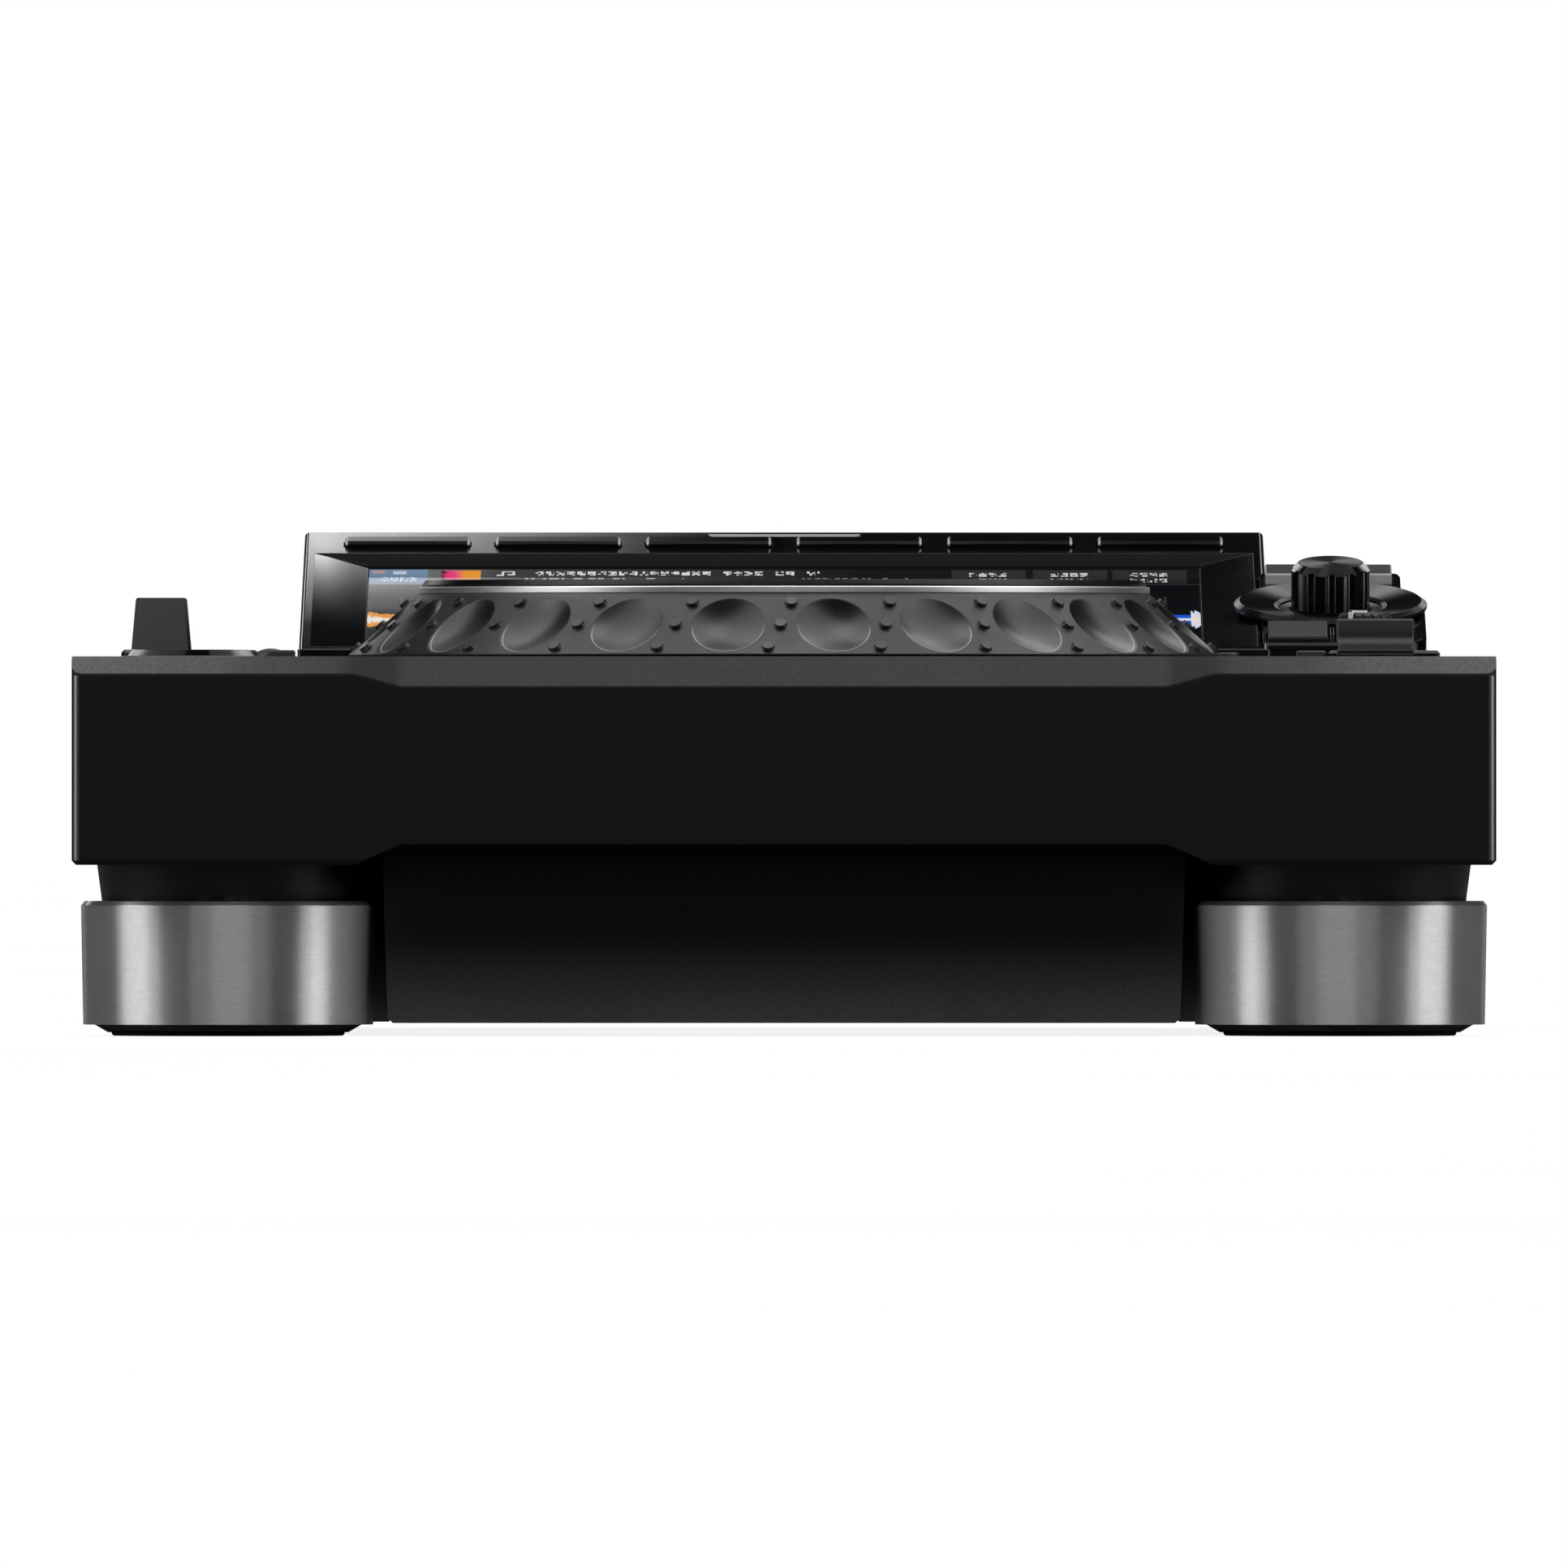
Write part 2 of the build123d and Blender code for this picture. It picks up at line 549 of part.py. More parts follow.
with BuildPart() as display_housing:
    with BuildSketch(Plane(origin=(0, 0, 0), x_dir=(0, 1, 0), z_dir=(1, 0, 0))):
        with BuildLine():
            Polyline((DISP_Y0, Z_TOP), (DISP_Y0, z_rim(DISP_Y0)), (DISP_Y1, Z_DISP), (DISP_Y1, Z_TOP),
                     close=True)
        make_face()
    extrude(amount=DISP_X, both=True)
    # rim edges along the sides and the rear
    rim = display_housing.faces().sort_by(Axis.Z)[-1]
    rim = display_housing.faces().sort_by(lambda f: -f.center().dot(DISP.z_dir))[0]
    fillet([e for e in rim.edges() if abs(e.center().X) > DISP_X - 0.1], 1.2)
    rear = display_housing.faces().sort_by(Axis.Y)[-1]
    chamfer([e for e in rear.edges() if e.center().Z > Z_TOP + 0.5], 0.4)
    # low plinth round the foot of the housing
    with BuildSketch(Plane.XY.offset(Z_TOP)):
        with Locations((0, (DISP_Y0 + DISP_Y1 - 0.5) / 2)):
            RectangleRounded(2 * 115.4, DISP_Y1 - DISP_Y0 + 0.5, 1.0)
    extrude(amount=2.4)
    # right side set in for the selector pedestal
    with BuildSketch(Plane.XY.offset(Z_TOP - 1)):
        with Locations((116.0, 120.0)):
            Rectangle(6.0, 81.0)
    extrude(amount=40, mode=Mode.SUBTRACT)
    # recess with wide sloping side faces
    with BuildSketch(DISP.offset(0.4)):
        with Locations((0, -59.6)):
            Rectangle(2 * 112.4 + 3.5, 119.2)
    with BuildSketch(DISP.offset(-REC)):
        with Locations((0, -59.0)):
            Rectangle(2 * 99.6, 118.0)
    loft(ruled=True, mode=Mode.SUBTRACT)
    # window for the glass
    with BuildSketch(DISP.offset(-REC)):
        with Locations((0, -59.0)):
            Rectangle(2 * 99.5, 117.9)
    extrude(amount=-4.0, mode=Mode.SUBTRACT)
    # inner hollow, open downwards over the panel opening
    add(disp_core, mode=Mode.SUBTRACT)
    # thinner roof under the key strip
    with BuildSketch(DISP.offset(-2.5)):
        with Locations((0, 11.6)):
            Rectangle(2 * 107.5, 18.0)
    extrude(amount=-5.0, mode=Mode.SUBTRACT)
    # key holes
    with BuildSketch(DISP.offset(2)):
        with Locations((0, 10.85)):
            with GridLocations(MENU_PITCH, 0, 6, 1):
                RectangleRounded(30.0 + 2 * FIT, 6.8 + 2 * FIT, 0.7)
    extrude(amount=-8, mode=Mode.SUBTRACT)
    # shallow finger pocket in front of the rear edge, with sloping ends
    notch = Plane(origin=DISP.from_local_coords(Vector(0, 21.4, 0)), x_dir=(1, 0, 0), z_dir=DISP.y_dir)
    with BuildSketch(notch):
        with BuildLine():
            Polyline((-18.5, -0.1), (18.5, -0.1), (17.2, 0.6), (-17.2, 0.6), close=True)
        make_face()
    extrude(amount=3.2, mode=Mode.SUBTRACT)
save(display_housing, "display_housing")

with BuildPart() as display_glass:
    with BuildSketch(DISP.offset(-REC - 1.1)):
        with Locations((0, -59.0)):
            Rectangle(2 * 99.4, 117.7)
    extrude(amount=1.1)
save(display_glass, "display_glass")

with BuildPart() as lcd_module:
    with BuildSketch(DISP.offset(-9.4)):
        with Locations((0, -59.0)):
            Rectangle(2 * 98.6, 116.6)
    extrude(amount=5.3)
    # four mounting tabs against the housing roof
    with BuildSketch(DISP.offset(-9.4)):
        with Locations((-100.5, -30), (-100.5, -85), (100.5, -30), (100.5, -85)):
            Rectangle(6.0, 12.0)
    extrude(amount=2.4)
    # key board along the rear edge of the module
    with BuildSketch(DISP.offset(-9.4)):
        with Locations((0, 8.6)):
            Rectangle(2 * 98.6, 19.6)
    extrude(amount=2.0)
    with BuildSketch(DISP.offset(-7.6)):
        with Locations((0, 10.85)):
            with GridLocations(MENU_PITCH, 0, 6, 1):
                Rectangle(6.0, 4.5)
    extrude(amount=2.6)
save(lcd_module, "lcd_module")

# six keys on the strip behind the screen
for i in range(6):
    with BuildPart() as menu_key:
        cx = (i - 2.5) * MENU_PITCH
        with BuildSketch(DISP.offset(-3.0)):
            with Locations((cx, 10.85)):
                RectangleRounded(30.0, 6.8, 0.6)
        extrude(amount=4.45)
        chamfer(menu_key.faces().sort_by(Axis.Z)[-1].edges() if False else
                menu_key.faces().sort_by(lambda f: -f.center().dot(DISP.z_dir))[0].edges(), 0.55)
        with BuildSketch(DISP.offset(-3.8)):
            with Locations((cx, 10.85)):
                Rectangle(32.0, 8.6)
        extrude(amount=0.9)
    save(menu_key, "menu_key_%d" % (i + 1))

# ------------------------------------------------------------------ selector pedestal
# name, x0, x1, y0, y1, front height, rear height, in the tilted pedestal plane
SEL_KEYS = [("filter_key", -15.2, -0.9, -36.6, -26.8, 1.0, 3.0),
            ("shortcut_key", 1.0, 16.4, -36.6, -26.8, 1.0, 3.0),
            ("back_key", -15.2, -0.5, 30.4, 41.0, 2.4, 2.6),
            ("tag_key", 0.7, 15.0, 30.4, 40.8, 2.4, 2.6)]

with BuildPart() as pedestal_core:
    with BuildSketch(Plane.XY.offset(Z_TOP - 1)) as core_sk:
        with BuildLine():
            Polyline((114.7, 81.9), (151.1, 81.9), (151.1, 120.6), (145.7, 140.4), (145.7, 158.7),
                     (114.7, 158.7), close=True)
        make_face()
        fillet(core_sk.vertices().filter_by(lambda v: v.X > 140 and v.Y < 90), 5.4)
    extrude(amount=30)
    with BuildSketch(SEL.offset(-2.4)):
        Rectangle(140, 140)
    extrude(amount=50, mode=Mode.SUBTRACT)
    core = pedestal_core.part

with BuildPart() as selector_pedestal:
    with BuildSketch(Plane.XY.offset(Z_TOP)) as ped_sk:
        with BuildLine():
            Polyline((113.4, 80.0), (152.6, 80.0), (152.6, 120.9), (147.2, 140.7), (147.2, 160.0),
                     (113.4, 160.0), close=True)
        make_face()
        fillet(ped_sk.vertices().filter_by(lambda v: v.X > 140 and v.Y < 90), 7.0)
        fillet(ped_sk.vertices().filter_by(lambda v: v.X > 140 and v.Y > 150), 2.0)
        fillet(ped_sk.vertices().filter_by(lambda v: v.X < 120), 1.5)
    extrude(amount=26)
    with BuildSketch(SEL):
        Rectangle(140, 140)
    extrude(amount=40, mode=Mode.SUBTRACT)
    chamfer(selector_pedestal.faces().sort_by(lambda f: -f.center().dot(SEL.z_dir))[0].edges(), 0.6)
    # undercut below the front lip
    with BuildSketch(Plane.XY.offset(Z_TOP)):
        with Locations((132.0, 78.6)):
            Rectangle(33.0, 5.0)
    extrude(amount=2.4, mode=Mode.SUBTRACT)
    # hollow from below
    add(core, mode=Mode.SUBTRACT)
    # shaft bearing boss
    with BuildSketch(SEL.offset(-2.0)):
        Circle(6.0)
    extrude(amount=-5.6)
    with BuildSketch(SEL):
        Circle(3.05)
    extrude(amount=-12, mode=Mode.SUBTRACT)
    # key holes
    with BuildSketch(SEL.offset(1)):
        for (nm, x0, x1, y0, y1, h0, h1) in SEL_KEYS:
            with Locations(((x0 + x1) / 2, (y0 + y1) / 2)):
                Rectangle(x1 - x0 + 2 * FIT, y1 - y0 + 2 * FIT)
    extrude(amount=-4.5, mode=Mode.SUBTRACT)
save(selector_pedestal, "selector_pedestal")

with BuildPart() as selector_ring:
    with BuildSketch(Plane.XZ):
        with BuildLine():
            Polyline((9.9, 0), (14.6, 0), (14.6, 0.4), (22.5, 0.4), (23.0, 0.7), (23.0, 1.4), (21.6, 2.4),
                     (13.5, 1.2), (12.4, 0.7), (12.4, 0.3), (9.9, 0.3), close=True)
        make_face()
    revolve(axis=Axis.Z)
    ring0 = selector_ring.part
with BuildPart() as selector_ring_t:
    add(SEL.location * ring0)
save(selector_ring_t, "selector_ring")

with BuildPart() as selector_shaft:
    with BuildSketch(SEL.offset(-11.0)):
        Circle(3.0)
    extrude(amount=18.0)
    with BuildSketch(SEL.offset(-10.2)):
        Circle(5.0)
    extrude(amount=2.0)
save(selector_shaft, "selector_shaft")

with BuildPart() as selector_knob:
    with BuildSketch(Plane.XZ):
        with BuildLine():
            Polyline((0, 7.4), (3.05, 7.4), (3.05, 1.0), (KNOB_R, 1.0), (KNOB_R, KNOB_H - 1.7),
                     (KNOB_R - 1.65, KNOB_H - 0.1), (KNOB_R - 1.8, KNOB_H), (0, KNOB_H), close=True)
        make_face()
    revolve(axis=Axis.Z)
    # twelve grip flutes with round upper ends
    with BuildSketch(Plane.XY.offset(1.0)):
        with PolarLocations(KNOB_R + 0.45, 12, start_angle=-90):
            Circle(1.35)
    extrude(amount=KNOB_H - 1.0 - 2.1, mode=Mode.SUBTRACT)
    with Locations((0, 0, KNOB_H - 2.1)):
        with PolarLocations(KNOB_R + 0.45, 12, start_angle=-90):
            Sphere(1.35, mode=Mode.SUBTRACT)
    knob0 = selector_knob.part
with BuildPart() as selector_knob_t:
    add(SEL.location * knob0)
save(selector_knob_t, "selector_knob")

# four keys round the selector: wedge caps on the sloping pedestal
for (nm, x0, x1, y0, y1, h0, h1) in SEL_KEYS:
    with BuildPart() as sel_key:
        side = Plane(origin=SEL.from_local_coords(Vector(x0, 0, 0)), x_dir=SEL.y_dir, z_dir=SEL.x_dir)
        with BuildSketch(side):
            with BuildLine():
                Polyline((y0, -2.9), (y0, h0), (y1, h1), (y1, -2.9), close=True)
            make_face()
        extrude(amount=x1 - x0)
        chamfer(sel_key.faces().sort_by(lambda f: -f.center().dot(SEL.z_dir))[0].edges(), 0.35)
        # retaining flange on the side next to the selector
        f0, f1 = (y0 + 2.6, y1 + 1.1) if y0 < 0 else (y0 - 1.1, y1 - 0.4)
        with BuildSketch(SEL.offset(-3.8)):
            with Locations(((x0 + x1) / 2, (f0 + f1) / 2)):
                Rectangle(x1 - x0 - 1.0, f1 - f0)
        extrude(amount=1.0)
    save(sel_key, nm)

# ------------------------------------------------------------------ keys of the top panel
for (nm, x, y, w, d, zt) in RECT_KEYS:
    with BuildPart() as key:
        with BuildSketch(Plane.XY.offset(84.0)):
            with Locations((x, y)):
                RectangleRounded(w, d, 0.9)
        extrude(amount=zt - 84.0)
        chamfer(key.faces().sort_by(Axis.Z)[-1].edges(), 0.35)
        with BuildSketch(Plane.XY.offset(82.6)):
            with Locations((x, y)):
                Rectangle(w + 1.6, d + 1.6)
        extrude(amount=1.6)
    save(key, nm)

with BuildPart() as master_tempo_key:
    with BuildSketch(Plane.XY.offset(84.0)):
        with Locations((MT_KEY[0], MT_KEY[1])):
            RectangleRounded(MT_KEY[2], MT_KEY[3], 0.9)
    extrude(amount=89.3 - 84.0)
    chamfer(master_tempo_key.faces().sort_by(Axis.Z)[-1].edges(), 0.35)
    with BuildSketch(Plane.XY.offset(82.6)):
        with Locations((MT_KEY[0], MT_KEY[1])):
            Rectangle(MT_KEY[2] + 1.6, MT_KEY[3] + 1.6)
    extrude(amount=1.6)
save(master_tempo_key, "master_tempo_key")

for (nm, x, y, r, zt) in ROUND_KEYS:
    with BuildPart() as rkey:
        with BuildSketch(Plane.XY.offset(84.0)):
            with Locations((x, y)):
                Circle(r)
        extrude(amount=zt - 84.0)
        top_e = rkey.faces().sort_by(Axis.Z)[-1].edges()
        if r > 10:
            chamfer(top_e, 1.5, 1.2)
        elif r > 4:
            fillet(top_e, 1.2)
            with BuildSketch(Plane(origin=(x, y, zt), x_dir=(1, 0, 0), z_dir=(0, -1, 0))):
                with BuildLine():
                    ThreePointArc((-3.4, 0), (0, 0.9), (3.4, 0))
                    Line((3.4, 0), (-3.4, 0))
                make_face()
                with Locations((-5, 0)):
                    Rectangle(10, 10, mode=Mode.SUBTRACT)
            revolve(axis=Axis((x, y, 0), (0, 0, 1)))
        else:
            fillet(top_e, 0.5)
        with BuildSketch(Plane.XY.offset(82.6)):
            with Locations((x, y)):
                Circle(r + 1.2)
        extrude(amount=1.6)
    save(rkey, nm)

# ------------------------------------------------------------------ direction lever
with BuildPart() as direction_lever:
    with BuildSketch(Plane.XY.offset(LEVER_PZ)) as lev_a:
        with Locations((LEVER_X, LEVER_Y)):
            Rectangle(16.0, 7.4)
        chamfer(lev_a.vertices(), 0.8)
    with BuildSketch(Plane.XY.offset(101.9)) as lev_b:
        with Locations((LEVER_X, LEVER_Y)):
            Rectangle(11.9, 5.2)
        chamfer(lev_b.vertices(), 0.8)
    loft()
    fillet(direction_lever.faces().sort_by(Axis.Z)[-1].edges(), 0.7)
    with BuildSketch(Plane(origin=(LEVER_X, 0, 0), x_dir=(0, 1, 0), z_dir=(1, 0, 0))):
        with Locations((LEVER_Y, LEVER_PZ)):
            Circle(4.0)
    extrude(amount=6.9, both=True)
    with BuildSketch(Plane(origin=(LEVER_X, 0, 0), x_dir=(0, 1, 0), z_dir=(1, 0, 0))):
        with Locations((LEVER_Y, LEVER_PZ)):
            Circle(1.5)
    extrude(amount=11.4, both=True)
save(direction_lever, "direction_lever")

# ------------------------------------------------------------------ jog-adjust knob
with BuildPart() as jog_adjust_knob:
    with BuildSketch(Plane.XY.offset(88.3)):
        with Locations((ADJ_X, ADJ_Y)):
            Circle(ADJ_R)
    extrude(amount=10.3)
    chamfer(jog_adjust_knob.faces().sort_by(Axis.Z)[-1].edges(), 0.8)
    with BuildSketch(Plane.XY.offset(88.3)):
        with Locations((ADJ_X, ADJ_Y)):
            with PolarLocations(ADJ_R + 0.15, 18, start_angle=5):
                Circle(0.62)
    extrude(amount=11, mode=Mode.SUBTRACT)
    # pointer rib, towards seven o'clock
    ang = radians(-90 - 33)
    with BuildSketch(Plane(origin=(ADJ_X, ADJ_Y, 88.6), x_dir=(cos(ang), sin(ang), 0), z_dir=(0, 0, 1))):
        with Locations((3.0, 0)):
            Rectangle(6.7, 0.9)
    extrude(amount=10.5)
    with BuildSketch(Plane.XY.offset(80.4)):
        with Locations((ADJ_X, ADJ_Y)):
            Circle(3.0)
    extrude(amount=8.4)
save(jog_adjust_knob, "jog_adjust_knob")

# ------------------------------------------------------------------ tempo fader
with BuildPart() as tempo_fader_cap:
    side = Plane(origin=(FAD_X, FAD_Y, 0), x_dir=(0, 1, 0), z_dir=(1, 0, 0))
    with BuildSketch(side):
        with BuildLine():
            Polyline((-3.3, 96.7), (3.3, 96.7), (3.9, 96.3))
            ThreePointArc((3.9, 96.3), (5.0, 92.2), (7.5, 89.3))
            Polyline((7.5, 89.3), (7.5, 88.3), (-7.5, 88.3), (-7.5, 89.3))
            ThreePointArc((-7.5, 89.3), (-5.0, 92.2), (-3.9, 96.3))
            Line((-3.9, 96.3), (-3.3, 96.7))
        make_face()
    extrude(amount=8.95, both=True)
    chamfer(tempo_fader_cap.edges().filter_by(lambda e: abs(abs(e.center().X - FAD_X) - 8.95) < 0.01
                                              and e.center().Z > 89.5), 0.3)
    # waisted sides
    with BuildSketch(Plane(origin=(FAD_X, FAD_Y - 12, 0), x_dir=(1, 0, 0), z_dir=(0, -1, 0))):
        for sx in (-1, 1):
            with BuildLine():
                Polyline((sx * 8.5, 90.1), (sx * 8.95, 88.9), (sx * 12, 88.9), (sx * 12, 92.6), (sx * 8.95, 92.6))
                ThreePointArc((sx * 8.95, 92.6), (sx * 8.8, 91.3), (sx * 8.5, 90.1))
            make_face()
    extrude(amount=-24, mode=Mode.SUBTRACT)
    # index groove across the top
    with BuildSketch(side):
        with Locations((0, 96.7)):
            Rectangle(0.9, 0.8)
    extrude(amount=9.5, both=True, mode=Mode.SUBTRACT)
    # stem and carriage
    with BuildSketch(side):
        with Locations((0, 82.5)):
            Rectangle(5.0, 12.0)
    extrude(amount=0.9, both=True)
    with BuildSketch(side):
        with Locations((0, 75.5)):
            Rectangle(9.0, 4.0)
    extrude(amount=3.6, both=True)
save(tempo_fader_cap, "tempo_fader_cap")

with BuildPart() as fader_unit:
    with BuildSketch(Plane.XY.offset(71.5)):
        with Locations((FAD_X, FAD_Y)):
            Rectangle(10.6, 2 * FAD_TRAVEL + 18)
    extrude(amount=8.5)
    with BuildSketch(Plane.XY.offset(73.0)):
        with Locations((FAD_X, FAD_Y)):
            Rectangle(7.9, 2 * FAD_TRAVEL + 11)
    extrude(amount=5.2, mode=Mode.SUBTRACT)
    with BuildSketch(Plane.XY.offset(76.0)):
        with Locations((FAD_X, FAD_Y)):
            Rectangle(3.0, 2 * FAD_TRAVEL + 8)
    extrude(amount=10, mode=Mode.SUBTRACT)
    # legs up to the panel
    with BuildSketch(Plane.XY.offset(71.5)):
        with Locations((FAD_X, FAD_Y - 62.5), (FAD_X, FAD_Y + 62.5)):
            Rectangle(10.6, 8.0)
    extrude(amount=Z_TOP - T_TOP - 71.5)
save(fader_unit, "fader_unit")

# ------------------------------------------------------------------ jog wheel
cone_dr = (JOG_R - JOG_RT) / (JOG_Z1 - JOG_Z0)
slope = sqrt((JOG_R - JOG_RT) ** 2 + (JOG_Z1 - JOG_Z0) ** 2)
n_r, n_z = (JOG_Z1 - JOG_Z0) / slope, (JOG_R - JOG_RT) / slope      # outward normal of the cone


def on_cone(z, phi_deg, out=0.0):
    """point on the cone at height z, phi measured from the front towards +X"""
    p = radians(phi_deg)
    r = JOG_R - (z - JOG_Z0) * cone_dr + out * n_r
    return Vector(r * sin(p), JOG_Y - r * cos(p), z + out * n_z)


with BuildPart() as jog_skirt:
    with BuildSketch(Plane.XZ):
        with BuildLine():
            Polyline((JOG_R - 0.2, JOG_Z0), (JOG_R, JOG_Z0 + 0.25), (JOG_RT, JOG_Z1), (84.0, JOG_Z1),
                     (84.0, JOG_Z1 - 0.6), (12.05, JOG_Z1 - 0.6), (12.05, 82.0), (15.0, 82.0), (15.0, 100.0),
                     (79.5, 100.0), (93.2, JOG_Z0), close=True)
        make_face()
    revolve(axis=Axis.Z)
    skirt0 = jog_skirt.part
with BuildPart() as jog_skirt_t:
    add(Pos(0, JOG_Y, 0) * skirt0)
    with Locations(*[on_cone(95.2, DIMPLE_PHASE + k * 360 / N_DIMPLE, DIMPLE_R - DIMPLE_DEPTH)
                     for k in range(N_DIMPLE)]):
        Sphere(DIMPLE_R, mode=Mode.SUBTRACT)
    # small round studs in slanting rows of three between the dimples
    for k in range(N_DIMPLE):
        for (z, dphi) in ((100.3, 1.5), (95.15, -0.1), (89.95, -1.7)):
            phi = DIMPLE_PHASE - 7.5 + dphi + k * 360 / N_DIMPLE
            p = radians(phi)
            nrm = Vector(n_r * sin(p), -n_r * cos(p), n_z)
            with BuildSketch(Plane(origin=on_cone(z, phi, -0.5), x_dir=(cos(p), sin(p), 0), z_dir=nrm)):
                Circle(1.7)
            extrude(amount=1.5, taper=14)
save(jog_skirt_t, "jog_skirt")

with BuildPart() as jog_band:
    with BuildSketch(Plane.XZ):
        with BuildLine():
            Polyline((83.0, JOG_Z1), (JOG_RT + 0.15, JOG_Z1), (JOG_RT + 0.25, JOG_Z2 - 0.2), (JOG_RT, JOG_Z2),
                     (83.0, JOG_Z2), close=True)
        make_face()
    revolve(axis=Axis.Z)
    band0 = jog_band.part
with BuildPart() as jog_band_t:
    add(Pos(0, JOG_Y, 0) * band0)
save(jog_band_t, "jog_band")

with BuildPart() as jog_top_plate:
    with BuildSketch(Plane.XZ):
        with BuildLine():
            Polyline((31.6, JOG_Z1 + 0.1), (82.8, JOG_Z1 + 0.1), (82.8, JOG_Z2), (84.8, JOG_Z2),
                     (84.8, JOG_Z2 + 0.5), (84.0, JOG_Z3), (33.4, JOG_Z3), (31.6, JOG_Z3 - 1.0), close=True)
        make_face()
    revolve(axis=Axis.Z)
    plate0 = jog_top_plate.part
with BuildPart() as jog_top_plate_t:
    add(Pos(0, JOG_Y, 0) * plate0)
save(jog_top_plate_t, "jog_top_plate")

with BuildPart() as jog_base:
    with BuildSketch(Plane.XZ):
        with BuildLine():
            Polyline((5.0, 72.0), (95.0, 72.0), (95.0, 83.2), (101.0, 83.2), (101.0, Z_TOP - T_TOP),
                     (93.0, Z_TOP - T_TOP), (93.0, 74.0), (20.0, 74.0), (20.0, 79.0), (12.0, 79.0),
                     (12.0, 101.0), (5.0, 101.0), close=True)
        make_face()
    revolve(axis=Axis.Z)
    jb0 = jog_base.part
with BuildPart() as jog_base_t:
    add(Pos(0, JOG_Y, 0) * jb0)
save(jog_base_t, "jog_base")

with BuildPart() as jog_display:
    with BuildSketch(Plane.XZ):
        with BuildLine():
            Polyline((0, 101.0), (0, JOG_Z3 - 0.2), (30.2, JOG_Z3 - 0.2), (30.8, JOG_Z3 - 0.8), (30.8, 103.8),
                     (26.0, 103.8), (14.0, 102.9), (11.8, 102.9), (11.8, 101.0), close=True)
        make_face()
    revolve(axis=Axis.Z)
    jd0 = jog_display.part
with BuildPart() as jog_display_t:
    add(Pos(0, JOG_Y, 0) * jd0)
save(jog_display_t, "jog_display")

# ------------------------------------------------------------------ boards
with BuildPart() as control_board:
    with BuildSketch(Plane.XY.offset(77.6)):
        with Locations((0, -72.5)):
            Rectangle(308, 284)
        with Locations((0, JOG_Y)):
            Circle(103.5, mode=Mode.SUBTRACT)
        with Locations((FAD_X, FAD_Y)):
            Rectangle(12.6, 2 * FAD_TRAVEL + 36, mode=Mode.SUBTRACT)
        with Locations((LEVER_X, LEVER_Y)):
            Rectangle(25.0, 16, mode=Mode.SUBTRACT)
        with Locations((0, -200)):
            Rectangle(220, 60, mode=Mode.SUBTRACT)
        with Locations((ADJ_X, ADJ_Y)):
            Circle(3.6, mode=Mode.SUBTRACT)
    extrude(amount=1.6)
    with BuildSketch(Plane.XY.offset(79.2)):
        for (nm, x, y, w, d, zt) in RECT_KEYS:
            with Locations((x, y)):
                Rectangle(5.0, 5.0)
        for (nm, x, y, r, zt) in ROUND_KEYS:
            with Locations((x, y)):
                Rectangle(5.0, 5.0)
        with Locations((MT_KEY[0], MT_KEY[1])):
            Rectangle(5.0, 5.0)
    extrude(amount=2.0)
    # posts up to the top panel
    with BuildSketch(Plane.XY.offset(79.0)):
        with Locations((-150, 62), (150, 62), (-150, -112), (150, -100), (0, 45), (-112, -200), (112, -200)):
            Circle(2.2)
    extrude(amount=Z_TOP - T_TOP - 79.0)
    # knob encoder body under the jog-adjust knob
    with BuildSketch(Plane.XY.offset(72.0)):
        with Locations((ADJ_X, ADJ_Y)):
            Rectangle(12, 12)
    extrude(amount=8.0)
save(control_board, "control_board")

with BuildPart() as main_board:
    with BuildSketch(Plane.XY.offset(50.0)):
        with Locations((-30, 105)):
            Rectangle(176, 184)
    extrude(amount=1.6)
    with BuildSketch(Plane.XY.offset(51.6)):
        with Locations((-50, 110)):
            Rectangle(34, 34)
        with Locations((-5, 120)):
            Rectangle(16, 24)
        with Locations((-95, 70)):
            Rectangle(20, 20)
        with Locations((20, 60)):
            Rectangle(12, 30)
    extrude(amount=2.4)
    with BuildSketch(Plane.XY.offset(51.6)):
        with Locations((-104, 140), (-104, 155), (40, 150), (40, 120)):
            Circle(4.0)
    extrude(amount=8)
    # stand-offs down to the cross rails of the pan
    with BuildSketch(Plane.XY.offset(45.9)):
        with Locations((-80, 25), (-80, 188), (50, 25), (50, 188)):
            Circle(3.0)
    extrude(amount=4.2)
save(main_board, "main_board")

with BuildPart() as power_supply:
    with BuildSketch(Plane.XY.offset(10.0)):
        with Locations((40, 60)):
            Rectangle(90, 200)
    extrude(amount=1.6)
    with BuildSketch(Plane.XY.offset(4.6)):
        with Locations((0, -35), (80, -35), (0, 155), (80, 155)):
            Circle(3.0)
    extrude(amount=5.6)
    with BuildSketch(Plane.XY.offset(11.6)):
        with Locations((40, 50)):
            Rectangle(38, 34)
        with Locations((20, 115)):
            Rectangle(24, 20)
    extrude(amount=22)
    with BuildSketch(Plane.XY.offset(11.6)):
        with Locations((62, 110), (62, 0), (40, 0)):
            Circle(8.0)
    extrude(amount=24)
save(power_supply, "power_supply")
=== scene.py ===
"""Looks of the tabletop player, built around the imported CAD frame."""
import math
import random

import bmesh
import bpy
from mathutils import Matrix, Vector


